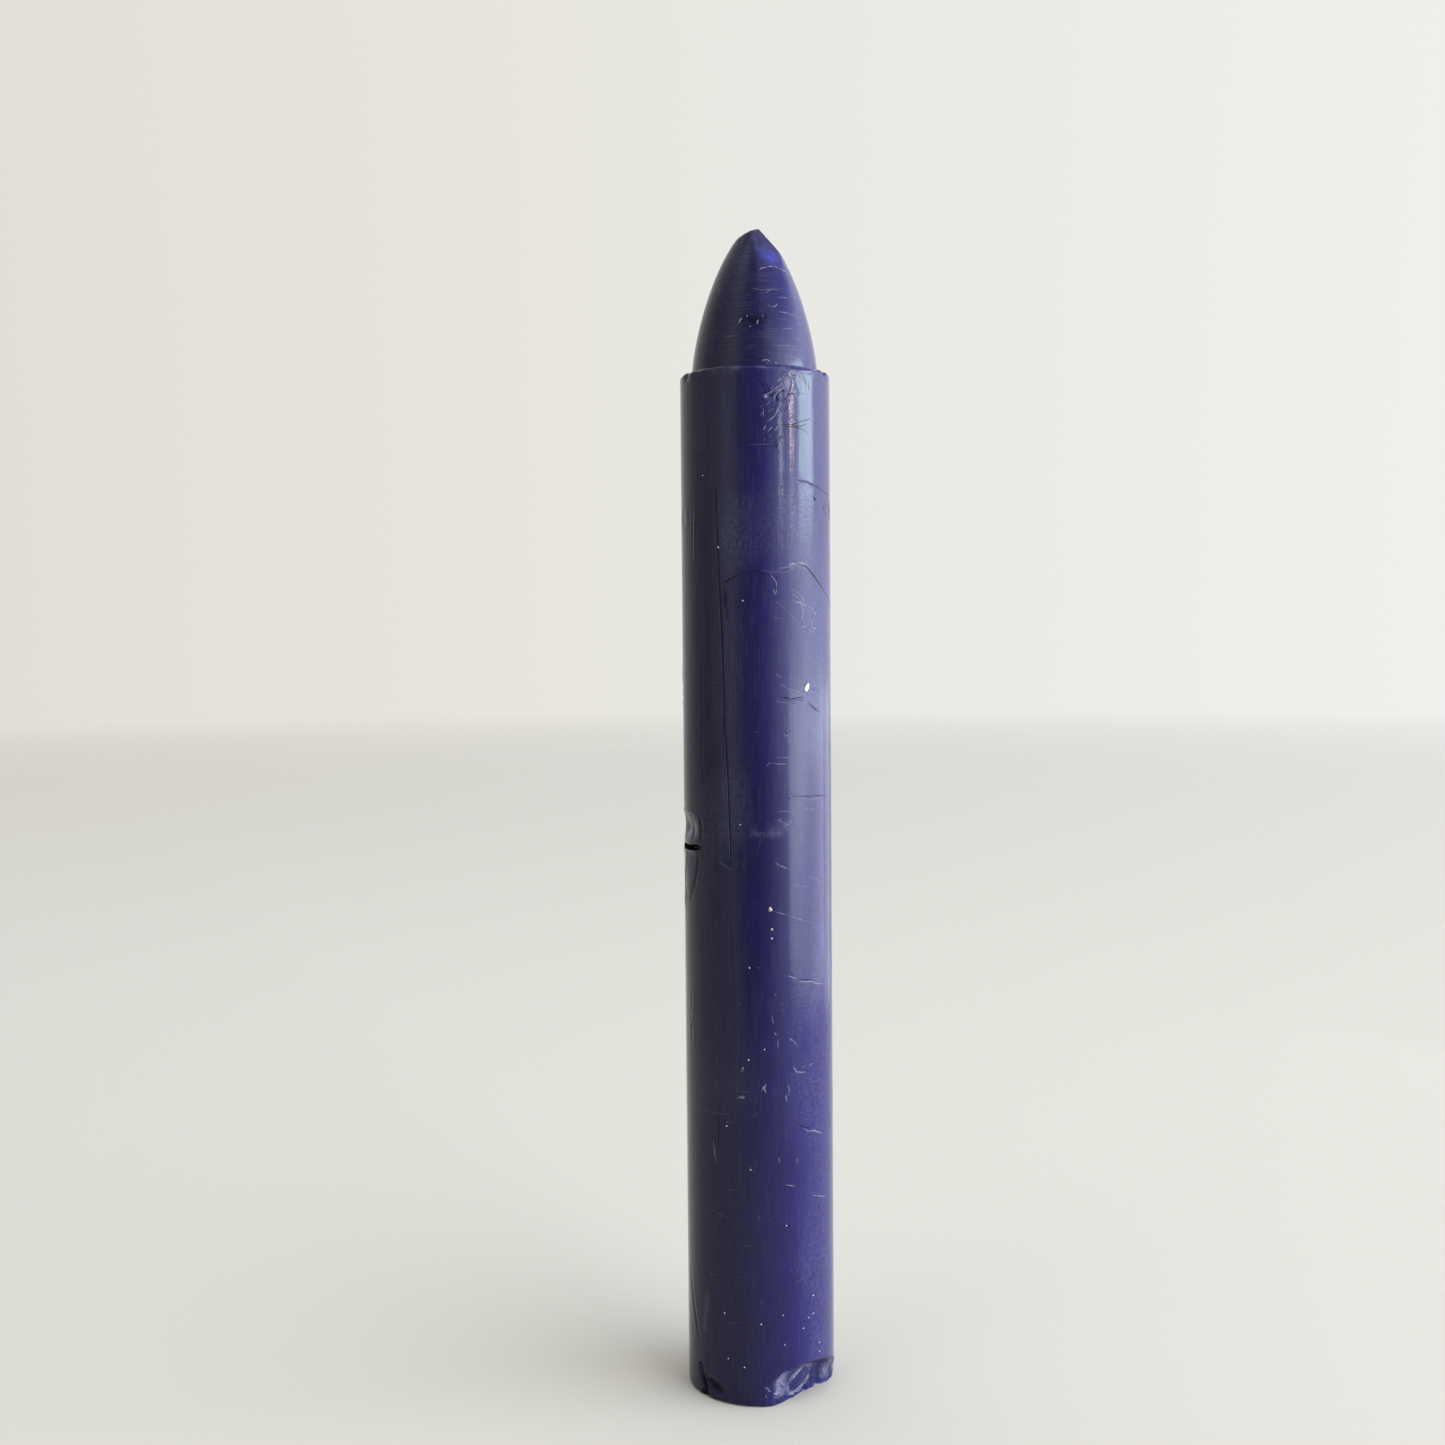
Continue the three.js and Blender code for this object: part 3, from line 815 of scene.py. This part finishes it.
def marked_skin():
    """The stick's skin with all its marks: the outline turned round the axis, each point moved
    along its outward direction by the marks' push, then bitten at the foot and worn at the tip."""
    skin = Surface()
    for marks in (hand_worn_skin, seam_marks, cracks, nose_marks, upper_scuff, middle_marks,
                  lower_marks, hair_lines, stray_marks, thumb_gouge, edge_damage, foot_marks):
        marks(skin)
    calm = smooth(0, 0.3, skin.height)[:, None] * (1 - smooth(88.6, 89.6, skin.height))[:, None]
    push = skin.push * calm
    r = skin.r + skin.out_r[:, None] * push
    z = skin.z + skin.out_z[:, None] * push
    r = np.minimum(r, BARREL_RADIUS + PROUDEST)
    r = bite_the_foot(skin, r, z)
    turn = np.radians(skin.bearing)
    points = np.stack([r * np.sin(turn), -r * np.cos(turn), z], axis=-1)
    return skin, wear_the_tip(skin, points)


# ------------------------------------------------------------------ meshes

def grid_faces(rings, across):
    """Quads between neighbouring rings of a closed tube, counted so that they face outwards."""
    ring = np.arange(rings - 1)[:, None] * across
    here = np.arange(across)[None, :]
    there = (here + 1) % across
    quads = np.stack([ring + here, ring + there, ring + across + there, ring + across + here], axis=-1)
    return quads.reshape(-1, 4)


def closed_skin(points):
    """Vertices and faces of a closed skin whose first and last rings are single points: the rings
    between are quads, and a fan of triangles closes each end."""
    rings, across = points.shape[:2]
    body = points[1:-1].reshape(-1, 3)
    vertices = np.concatenate([body, points[:1, 0], points[-1:, 0]])
    quads = grid_faces(rings - 2, across)
    here = np.arange(across)
    there = (here + 1) % across
    bottom, top = len(body), len(body) + 1
    last = (rings - 3) * across
    fan_low = np.stack([there, here, np.full(across, bottom)], axis=-1)
    fan_high = np.stack([last + here, last + there, np.full(across, top)], axis=-1)
    return vertices, quads, np.concatenate([fan_low, fan_high])


def new_piece(name, vertices, quads, triangles, material, marks=None):
    """A mesh object at the origin from points in millimetres, shaded smooth, with one number per
    point for each named mark."""
    mesh = bpy.data.meshes.new(name)
    corners = np.concatenate([quads.ravel(), triangles.ravel()]).astype(np.int32)
    sizes = np.concatenate([np.full(len(quads), 4), np.full(len(triangles), 3)])
    starts = np.concatenate([[0], np.cumsum(sizes)[:-1]]).astype(np.int32)
    mesh.vertices.add(len(vertices))
    mesh.vertices.foreach_set("co", (vertices * MM).astype(np.float32).ravel())
    mesh.loops.add(len(corners))
    mesh.loops.foreach_set("vertex_index", corners)
    mesh.polygons.add(len(sizes))
    mesh.polygons.foreach_set("loop_start", starts)
    mesh.polygons.foreach_set("use_smooth", np.ones(len(sizes), bool))
    for mark, values in (marks or {}).items():
        layer = mesh.attributes.new(mark, "FLOAT", "POINT")
        layer.data.foreach_set("value", values.astype(np.float32))
    mesh.materials.append(material)
    mesh.update(calc_edges=True)
    mesh.validate()
    piece = bpy.data.objects.new(name, mesh)
    bpy.context.scene.collection.objects.link(piece)
    return piece


def by_vertex(values):
    """A mark's grid in the order of closed_skin's vertices."""
    return np.concatenate([values[1:-1].ravel(), values[0, :1], values[-1, :1]])


def wax_casting(material):
    """The whole stick as one closed skin, in place of the solid node, and the finest marks on it."""
    skin, points = marked_skin()
    marks = {name: by_vertex(getattr(skin, name)) for name in MARKS}
    piece = new_piece("wax_casting", *closed_skin(points), material, marks)
    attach(piece, "root")
    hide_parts("wax_stick")
    fine_threads(skin, points, material)


def joined(shapes):
    """The vertices, quads and triangles of many closed skins as one set of each."""
    vertices, quads, triangles = zip(*shapes)
    starts = np.cumsum([0] + [len(v) for v in vertices[:-1]])
    quads = [faces + start for faces, start in zip(quads, starts)]
    triangles = [faces + start for faces, start in zip(triangles, starts)]
    return np.concatenate(vertices), np.concatenate(quads), np.concatenate(triangles)


def nearest_places(skin, bearing, height):
    """The ring and column of the grid point nearest to each spot."""
    ring = np.clip(np.searchsorted(skin.height, height), 0, len(skin.height) - 1)
    column = np.abs(turned(skin.bearing[ring] - bearing[:, None])).argmin(axis=1)
    return np.abs(skin.z[:, column] - height[None, :]).argmin(axis=0), column


# The threads' sections have this many sides and stand this many millimetres apart.
THREAD_SIDES = 8
THREAD_STEP = 0.05
THREAD_DULLNESS = 0.3


def fine_threads(skin, points, material):
    """The finest marks, as closed threads that lie half bedded in the skin and follow its slope.
    Each runs along its line of spots with a slight wobble; its section is an ellipse, which varies
    along it by noise and closes to a point at each end."""
    shapes, marks = [], []
    turn = np.linspace(0, 2 * math.pi, THREAD_SIDES, endpoint=False)
    for number, (path, width, height, haze, grime, raw) in enumerate(skin.threads):
        path = np.array(path, float)
        flat = np.stack([np.radians(path[:, 0]) * BARREL_RADIUS, path[:, 1]], axis=-1)
        reach = np.concatenate([[0], np.cumsum(np.hypot(*np.diff(flat, axis=0).T))])
        steps = max(int(reach[-1] / THREAD_STEP), 6)
        along = np.linspace(0, reach[-1], steps + 1)
        spot = np.stack([np.interp(along, reach, flat[:, 0]), np.interp(along, reach, flat[:, 1])], axis=-1)
        ahead = np.gradient(spot, axis=0)
        ahead /= np.hypot(*ahead.T)[:, None]
        aside = np.stack([-ahead[:, 1], ahead[:, 0]], axis=-1)
        place = np.stack([along, np.full_like(along, 7.3 * number), np.zeros_like(along)], axis=-1)
        spot = spot + (0.035 * grain(place, 0.35, 51))[:, None] * aside
        bearing = np.degrees(spot[:, 0]) / BARREL_RADIUS
        ring, column = nearest_places(skin, bearing, spot[:, 1])
        slope = skin.out_z[ring] / np.maximum(skin.out_r[ring], 0.3)
        radius = np.hypot(points[ring, column, 0], points[ring, column, 1])
        radius = radius - slope * (spot[:, 1] - points[ring, column, 2])
        shrink = radius / BARREL_RADIUS
        taper = np.sqrt(np.maximum(np.sin(np.pi * along / reach[-1]), 0))
        taper = taper * (0.8 + 0.35 * grain(place, 0.18, 52))
        taper[0] = taper[-1] = 0
        across = (width * taper)[:, None] * np.cos(turn)
        outwards = (height * taper)[:, None] * np.sin(turn) + radius[:, None]
        around = aside[:, :1] * across / shrink[:, None]
        upwards = spot[:, 1:] + aside[:, 1:] * across
        angle = np.radians(bearing)[:, None]
        c, sine = np.cos(angle), np.sin(angle)
        ring_points = np.stack([sine * outwards + c * around, -c * outwards + sine * around,
                                upwards + np.zeros_like(outwards)], axis=-1)
        shapes.append(closed_skin(ring_points))
        values = [raw, haze, grime, THREAD_DULLNESS, skin.faded_and_lit[ring, column].mean()]
        marks.append(np.tile(values, (len(shapes[-1][0]), 1)))
    piece = new_piece("wax_burrs", *joined(shapes), material, dict(zip(MARKS, np.concatenate(marks).T)))
    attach(piece, "root")


def crumb_shape(size, seed):
    """A lump: a ball's latitude rings with their radius varied by smooth noise, stretched to its
    half sizes. Its first and last rings are points."""
    rings, across = 9, 14
    polar = np.linspace(math.pi, 0, rings)[:, None]
    turn = np.linspace(0, 2 * math.pi, across, endpoint=False)[None, :]
    ball = np.stack([np.sin(polar) * np.cos(turn), np.sin(polar) * np.sin(turn),
                     np.cos(polar) * np.ones_like(turn)], axis=-1)
    swell = 1 + 0.3 * grain(ball, 0.7, seed)
    return ball * swell[..., None] * np.array(size)


# How much of a stuck lump's thickness is bedded in the wall.
BEDDED = 0.35


def stuck_lumps(name, places, material):
    """Lumps bedded in the wall, one for each place: its spot, its half sizes round, outwards and
    upwards, and how far it is turned on the wall."""
    shapes = []
    for number, (bearing, height, around, outwards, upwards, lean) in enumerate(places):
        lump = crumb_shape((around, outwards, upwards), 60 + number)
        c, s = math.cos(math.radians(lean)), math.sin(math.radians(lean))
        x, y, z = lump[..., 0], lump[..., 1], lump[..., 2]
        x, z = c * x - s * z, s * x + c * z
        y = y - (BARREL_RADIUS + outwards * (1 - 2 * BEDDED))
        c, s = math.cos(math.radians(bearing)), math.sin(math.radians(bearing))
        shapes.append(closed_skin(np.stack([c * x - s * y, s * x + c * y, z + height], axis=-1)))
    piece = new_piece(name, *joined(shapes), material)
    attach(piece, "root")


# ------------------------------------------------------------------ materials

def fresh_material(name):
    """A material with an empty node tree, and its Principled shader already joined to the output."""
    material = bpy.data.materials.new(name)
    material.use_nodes = True
    tree = material.node_tree
    tree.nodes.clear()
    shader = tree.nodes.new("ShaderNodeBsdfPrincipled")
    output = tree.nodes.new("ShaderNodeOutputMaterial")
    tree.links.new(shader.outputs["BSDF"], output.inputs["Surface"])
    return material, tree, shader


def plug(tree, value, socket):
    """Joins a node's output to a socket, or sets the socket if value is a plain number or colour."""
    if isinstance(value, bpy.types.NodeSocket):
        tree.links.new(value, socket)
    else:
        socket.default_value = value


def arithmetic(tree, operation, a, b=0.0, clamp=False):
    """One maths node, whose inputs are numbers or other nodes' outputs."""
    node = tree.nodes.new("ShaderNodeMath")
    node.operation = operation
    node.use_clamp = clamp
    plug(tree, a, node.inputs[0])
    plug(tree, b, node.inputs[1])
    return node.outputs[0]


def blend_colour(tree, share, first, second):
    """first where share is 0 and second where it is 1."""
    node = tree.nodes.new("ShaderNodeMix")
    node.data_type = "RGBA"
    plug(tree, share, node.inputs["Factor"])
    plug(tree, first, node.inputs["A"])
    plug(tree, second, node.inputs["B"])
    return node.outputs["Result"]


def ramp(tree, value, low, high, out_low=0.0, out_high=1.0):
    """value carried from the range low..high to out_low..out_high and held inside it."""
    node = tree.nodes.new("ShaderNodeMapRange")
    for name, number in (("From Min", low), ("From Max", high), ("To Min", out_low), ("To Max", out_high)):
        node.inputs[name].default_value = number
    plug(tree, value, node.inputs["Value"])
    return node.outputs["Result"]


def wax_place(tree, stretch=(1, 1, 1)):
    """Object coordinates, stretched so that a pattern runs longer one way than another."""
    place = tree.nodes.new("ShaderNodeTexCoord")
    turn = tree.nodes.new("ShaderNodeMapping")
    turn.inputs["Scale"].default_value = stretch
    tree.links.new(place.outputs["Object"], turn.inputs["Vector"])
    return turn.outputs["Vector"]


def mottle(tree, place, lump, detail=3.0, roughness=0.55):
    """Cloudy noise whose lumps are about lump millimetres across."""
    node = tree.nodes.new("ShaderNodeTexNoise")
    node.inputs["Scale"].default_value = 1 / (lump * MM)
    node.inputs["Detail"].default_value = detail
    node.inputs["Roughness"].default_value = roughness
    tree.links.new(place, node.inputs["Vector"])
    return node.outputs["Fac"]


def relief(tree, height, depth, below=None):
    """A bump whose full range of height is depth millimetres, laid on the bump below it."""
    node = tree.nodes.new("ShaderNodeBump")
    node.inputs["Distance"].default_value = depth * MM
    plug(tree, height, node.inputs["Height"])
    if below is not None:
        tree.links.new(below, node.inputs["Normal"])
    return node.outputs["Normal"]


def mark_value(tree, name):
    """One of the skin's marks, read at the point being shaded."""
    node = tree.nodes.new("ShaderNodeAttribute")
    node.attribute_name = name
    return node.outputs["Fac"]


DEEP_VIOLET_WAX = (0.0045, 0.0040, 0.021, 1)
# The lighter blue: worn and broken wax, and painted light on the window side of the barrel and nose.
WORN_AND_LIT_BLUE_WAX = (0.0088, 0.0068, 0.064, 1)
RAW_BLUE_WAX = (0.014, 0.022, 0.24, 1)
# The pale colour: bloom on scuffs and scratches, and painted highlights.
PALE_BLOOM_AND_HIGHLIGHT = (0.23, 0.235, 0.34, 1)
DARK_DIRT_AND_SHADE = (0.004, 0.004, 0.010, 1)


def handled_wax():
    """Dark blue-violet wax, polished by hands, with cloudy pigment, faint pale lines along the
    barrel and round the nose, pale bloom on scuffs and painted pale highlights, brighter wax where
    it is freshly broken or worn and as painted light on the window side, and a dark colour which
    does not shine in the cracks, pits and hollows, partly dirt and partly painted shade."""
    material, tree, shader = fresh_material("handled_blue_violet_wax")
    even = wax_place(tree)
    drawn = wax_place(tree, (1, 1, 0.06))
    cloud = mottle(tree, even, 2.5)
    fine = mottle(tree, even, 0.25, 4.0, 0.6)
    streak = mottle(tree, drawn, 0.16, 2.0)
    raw, haze, grime, dull, faded_and_lit = (mark_value(tree, name) for name in MARKS)
    rippled = mottle(tree, wax_place(tree, (0.3, 0.3, 1)), 0.22, 2.0)

    # Painted light and shade: the blend towards the lighter blue is set by bearing on the barrel and nose.
    cloudy = arithmetic(tree, "MULTIPLY", faded_and_lit, ramp(tree, cloud, 0.3, 0.7, 0.82, 1.18), clamp=True)
    colour = blend_colour(tree, cloudy, DEEP_VIOLET_WAX, WORN_AND_LIT_BLUE_WAX)
    hairs = ramp(tree, mottle(tree, drawn, 0.13, 3.0), 0.48, 0.72, 0.0, 0.030)
    rings = mottle(tree, wax_place(tree, (0.10, 0.10, 1)), 0.13, 3.0)
    rings = ramp(tree, rings, 0.48, 0.72, 0.0, 0.040)
    hairs = arithmetic(tree, "MULTIPLY", hairs, ramp(tree, dull, 0.0, 1.0, 1.0, 0.0))
    lines = arithmetic(tree, "ADD", hairs, arithmetic(tree, "MULTIPLY", rings, dull))
    lines = arithmetic(tree, "MULTIPLY", lines, ramp(tree, fine, 0.3, 0.7, 0.3, 1.7))
    colour = blend_colour(tree, lines, colour, PALE_BLOOM_AND_HIGHLIGHT)
    colour = blend_colour(tree, raw, colour, RAW_BLUE_WAX)
    # Painted highlights as well as scuffs: this mark blends in the pale colour.
    speckled = arithmetic(tree, "MULTIPLY", haze, ramp(tree, fine, 0.3, 0.75))
    colour = blend_colour(tree, arithmetic(tree, "MULTIPLY", speckled, 0.8), colour, PALE_BLOOM_AND_HIGHLIGHT)
    # Painted shade as well as dirt: this mark blends in the dark colour.
    colour = blend_colour(tree, grime, colour, DARK_DIRT_AND_SHADE)
    plug(tree, colour, shader.inputs["Base Color"])

    polish = ramp(tree, mottle(tree, drawn, 0.6), 0.35, 0.7, 0.05, 0.11)
    dulled = arithmetic(tree, "MULTIPLY", haze, 0.3)
    torn = arithmetic(tree, "MULTIPLY", raw, 0.25)
    matt = arithmetic(tree, "MULTIPLY", dull, 0.10)
    rough = arithmetic(tree, "ADD", polish, arithmetic(tree, "ADD", dulled, torn))
    rough = arithmetic(tree, "ADD", rough, matt, clamp=True)
    plug(tree, rough, shader.inputs["Roughness"])

    # Where this mark is dark the gloss goes too, for dirt and painted shade alike.
    plug(tree, ramp(tree, grime, 0.0, 1.0, 0.5, 0.05), shader.inputs["Specular IOR Level"])

    bump = relief(tree, streak, 0.005)
    bump = relief(tree, rippled, 0.0025, bump)
    bump = relief(tree, fine, 0.007, bump)
    rubbed = arithmetic(tree, "MAXIMUM", haze, raw)
    gritty = arithmetic(tree, "MULTIPLY", mottle(tree, even, 0.12, 3.0), rubbed)
    bump = relief(tree, gritty, 0.03, bump)
    plug(tree, bump, shader.inputs["Normal"])

    shader.inputs["IOR"].default_value = 1.42
    shader.inputs["Subsurface Weight"].default_value = 0.25
    shader.inputs["Subsurface Radius"].default_value = (0.25, 0.35, 1.0)
    shader.inputs["Subsurface Scale"].default_value = 0.6 * MM
    return material


def dusty_lump(name, dark, light, roughness):
    """A dull speck of dust or fibre, mottled between two colours."""
    material, tree, shader = fresh_material(name)
    place = wax_place(tree)
    cloud = mottle(tree, place, 0.08)
    plug(tree, blend_colour(tree, ramp(tree, cloud, 0.3, 0.7), dark, light), shader.inputs["Base Color"])
    plug(tree, ramp(tree, cloud, 0.3, 0.7, roughness, roughness + 0.15), shader.inputs["Roughness"])
    plug(tree, relief(tree, mottle(tree, place, 0.05), 0.02), shader.inputs["Normal"])
    return material


def paper_floor_material():
    """Plain pale paper that fades away with distance, and sooner in front, so that it has no edge."""
    material, tree, shader = fresh_material("plain_pale_floor")
    place = wax_place(tree)
    shader.inputs["Base Color"].default_value = (0.385, 0.372, 0.345, 1)
    shader.inputs["Roughness"].default_value = 0.85
    shader.inputs["Specular IOR Level"].default_value = 0.2
    split = tree.nodes.new("ShaderNodeSeparateXYZ")
    tree.links.new(place, split.inputs[0])
    sooner = arithmetic(tree, "MULTIPLY", split.outputs["Y"], 6.0)
    forward = arithmetic(tree, "POWER", arithmetic(tree, "MINIMUM", split.outputs["Y"], sooner), 2.0)
    aside = arithmetic(tree, "POWER", split.outputs["X"], 2.0)
    reach = arithmetic(tree, "SQRT", arithmetic(tree, "ADD", aside, forward))
    plug(tree, ramp(tree, reach, 0.25, 1.1, 1.0, 0.0), shader.inputs["Alpha"])
    return material


# ------------------------------------------------------------------ studio

FLOOR_RADIUS = 1.2
CAMERA_DISTANCE = 0.13236
CAMERA_HEIGHT = 0.05907
CAMERA_TILT = 3.078
CAMERA_TURN = 1.1625
CAMERA_ROLL = -0.4643
LENS = 42.42
SENSOR = 36.0

ROOM_TINT = (1.0, 0.99, 0.94, 1)
WINDOW_TINT = (0.93, 0.99, 1.06, 1)
BACKDROP_LEFT = (0.75, 0.73, 0.66, 1)
BACKDROP_RIGHT = (0.88, 0.88, 0.86, 1)
# Heights in the room are the upward part of a direction: 0 is level, and 1 is straight up.
WINDOW_TOP = (0.25, 0.6)
CEILING_LIGHT = 0.75
# How far from the stick the lights that show in its gloss stand.
WINDOW_DISTANCE = 0.14
STRIP_DISTANCE = 0.6


def pale_floor():
    """A level disc under the foot, as rings and spokes."""
    material = paper_floor_material()
    radius = np.concatenate([[0], np.geomspace(0.01, FLOOR_RADIUS, 40)]) / MM
    turn = np.linspace(0, 2 * math.pi, 96, endpoint=False)
    points = np.stack([radius[:, None] * np.cos(turn), radius[:, None] * np.sin(turn),
                       np.zeros((len(radius), len(turn)))], axis=-1)
    body = points[1:].reshape(-1, 3)
    here = np.arange(len(turn))
    fan = np.stack([here, (here + 1) % len(turn), np.full(len(turn), len(body))], axis=-1)
    quads = grid_faces(len(radius) - 1, len(turn))[:, ::-1]
    floor = new_piece("pale_floor", np.concatenate([body, points[:1, 0]]), quads, fan, material)


# How bright the room is all round, as (bearing, brightness): dark behind the camera, a pale wall to
# its left, and a wide window to the right.
ROOM = [
    (-180, 0.85), (-156, 0.72), (-130, 0.62), (-104, 0.44), (-80, 0.40), (-60, 0.62), (-44, 0.80),
    (-33, 0.68), (-26, 0.40), (-16, 0.24), (2, 0.18), (14, 0.36), (24, 0.85), (36, 1.6), (48, 2.6),
    (60, 4.6), (74, 5.2), (88, 5.0), (102, 3.8), (120, 2.4), (140, 1.4), (160, 1.0), (180, 0.85),
]
ROOM_PEAK = max(light for _, light in ROOM)


def room_light():
    """The room as it lights the stick, by bearing, capped above the window's top. The camera itself
    sees a plain pale backdrop, a little brighter to the right."""
    world = bpy.data.worlds.new("pale_room")
    bpy.context.scene.world = world
    world.use_nodes = True
    tree = world.node_tree
    sky = tree.nodes["Background"]
    place = tree.nodes.new("ShaderNodeTexCoord")
    split = tree.nodes.new("ShaderNodeSeparateXYZ")
    tree.links.new(place.outputs["Generated"], split.inputs[0])
    front = arithmetic(tree, "MULTIPLY", split.outputs["Y"], -1.0)
    bearing = arithmetic(tree, "ARCTAN2", split.outputs["X"], front)
    around = tree.nodes.new("ShaderNodeValToRGB")
    around.color_ramp.elements.remove(around.color_ramp.elements[0])
    for number, (degrees, light) in enumerate(ROOM):
        share = (degrees + 180) / 360
        stop = around.color_ramp.elements[0] if number == 0 else around.color_ramp.elements.new(share)
        stop.position = share
        stop.color = (light / ROOM_PEAK, light / ROOM_PEAK, light / ROOM_PEAK, 1)
    plug(tree, ramp(tree, bearing, -math.pi, math.pi), around.inputs["Fac"])
    walls = arithmetic(tree, "MULTIPLY", around.outputs["Color"], ROOM_PEAK)
    tint = blend_colour(tree, ramp(tree, walls, 0.6, 2.2), ROOM_TINT, WINDOW_TINT)
    limit = ramp(tree, split.outputs["Z"], *WINDOW_TOP, ROOM_PEAK, CEILING_LIGHT)
    strength = arithmetic(tree, "MINIMUM", walls, limit)
    lit = tree.nodes.new("ShaderNodeVectorMath")
    lit.operation = "SCALE"
    tree.links.new(tint, lit.inputs[0])
    tree.links.new(strength, lit.inputs["Scale"])
    rightward = ramp(tree, split.outputs["X"], -0.45, 0.45)
    backdrop = blend_colour(tree, rightward, BACKDROP_LEFT, BACKDROP_RIGHT)
    seen = tree.nodes.new("ShaderNodeLightPath").outputs["Is Camera Ray"]
    plug(tree, blend_colour(tree, seen, lit.outputs[0], backdrop), sky.inputs["Color"])


def soft_panel(name, bearing, distance, width, low, high, radiance, colour, lights):
    """An upright soft light that faces the stick and that the camera doesn't see: its power is
    radiance x pi x its area. It lights only dull surfaces, or shows only in gloss."""
    light = bpy.data.lights.new(name, "AREA")
    light.shape = "RECTANGLE"
    light.size = width
    light.size_y = high - low
    light.energy = radiance * math.pi * width * (high - low)
    light.color = colour
    panel = bpy.data.objects.new(name, light)
    turn = math.radians(bearing)
    panel.location = (distance * math.sin(turn), -distance * math.cos(turn), (low + high) / 2)
    panel.rotation_euler = (math.pi / 2, 0, turn)
    panel.visible_camera = False
    panel.visible_glossy = lights != "dull"
    panel.visible_diffuse = lights != "gloss"
    bpy.context.scene.collection.objects.link(panel)


def ceiling_light(height, size, radiance):
    """A soft square light overhead that faces down and lights only dull surfaces."""
    light = bpy.data.lights.new("ceiling_light", "AREA")
    light.size = size
    light.energy = radiance * math.pi * size * size
    panel = bpy.data.objects.new("ceiling_light", light)
    panel.location = (0, 0, height)
    panel.visible_camera = False
    panel.visible_glossy = False
    bpy.context.scene.collection.objects.link(panel)


def studio_lights():
    """A broad light from the window that does most of the lighting, one overhead, the foot and side
    of the window as the gloss shows them, and three bright strips of daylight higher than the
    stick."""
    ceiling_light(1.0, 1.2, 2.3)
    soft_panel("window_light", 66, 1.2, 2.0, 0.08, 0.56, 16.0, (0.97, 1.0, 1.03), "dull")
    soft_panel("window_foot", 85, WINDOW_DISTANCE, 0.20, 0.0, 0.05, 2.2, (0.95, 1.0, 1.04), "gloss")
    soft_panel("window_side", 132, WINDOW_DISTANCE, 0.068, 0.0, 0.05, 1.0, (0.95, 1.0, 1.04), "gloss")
    soft_panel("green_strip", 39, STRIP_DISTANCE, 0.034, 0.124, 0.150, 17.0, (0.86, 1.0, 0.90), "gloss")
    soft_panel("warm_strip", 57, STRIP_DISTANCE, 0.036, 0.143, 0.165, 54.0, (1.0, 0.77, 0.60), "gloss")
    soft_panel("day_strip", 84, STRIP_DISTANCE, 0.30, 0.112, 0.25, 7.2, (0.70, 1.0, 0.96), "gloss")


def camera():
    """Stands in front of the stick, a little above its middle, tilted down, turned a little to the
    left and rolled, by the matrix whose columns are its right, its up and its back."""
    turn, tilt, roll = (math.radians(a) for a in (CAMERA_TURN, CAMERA_TILT, CAMERA_ROLL))
    ahead = Vector((-math.sin(turn) * math.cos(tilt), math.cos(turn) * math.cos(tilt), -math.sin(tilt)))
    right = Vector((math.cos(turn), math.sin(turn), 0))
    up = right.cross(ahead)
    rolled_right = math.cos(roll) * right + math.sin(roll) * up
    rolled_up = math.cos(roll) * up - math.sin(roll) * right
    data = bpy.data.cameras.new("camera")
    data.lens = LENS
    data.sensor_width = SENSOR
    data.clip_start = 0.005
    view = bpy.data.objects.new("camera", data)
    matrix = Matrix((rolled_right, rolled_up, -ahead)).transposed().to_4x4()
    matrix.translation = Vector((0, -CAMERA_DISTANCE, CAMERA_HEIGHT))
    view.matrix_world = matrix
    bpy.context.scene.collection.objects.link(view)
    bpy.context.scene.camera = view


camera()
room_light()
studio_lights()
pale_floor()

wax_casting(handled_wax())
beige = dusty_lump("beige_dust", (0.16, 0.14, 0.13, 1), (0.34, 0.30, 0.26, 1), 0.7)
white = dusty_lump("white_fibre", (0.50, 0.50, 0.48, 1), (0.75, 0.75, 0.72, 1), 0.6)
stuck_lumps("white_fleck", [(40.5, 54.75, 0.17, 0.11, 0.32, -28)], white)
stuck_lumps("beige_crumbs", [(9, 38.2, 0.15, 0.10, 0.17, 20), (10, 36.7, 0.09, 0.07, 0.09, 0),
                             (10, 36.0, 0.07, 0.06, 0.08, 0)], beige)
SPECK_SPOTS = [
    (8, 76.3), (-43, 70.7), (-29, 65.3), (-10, 61.3), (-13, 44.6), (-7, 33.8), (4, 27.6), (-8, 26.8),
    (-26, 21.6), (-7, 18.4), (20, 14.0), (44, 8.1), (-29, 7.1), (17, 7.1), (0, 6.5), (44, 6.7),
    (39, 6.5), (34, 5.8), (18, 4.8), (51, 4.2), (-26, 3.6), (51, 3.5), (-13, 3.1),
]
SPECK_SIZES = [0.05, 0.03, 0.045, 0.035]
stuck_lumps("pale_specks", [(bearing, height, SPECK_SIZES[i % 4], 0.04, SPECK_SIZES[(i + 1) % 4], 40 * i)
                            for i, (bearing, height) in enumerate(SPECK_SPOTS)], white)

bpy.context.scene.view_settings.view_transform = "Standard"
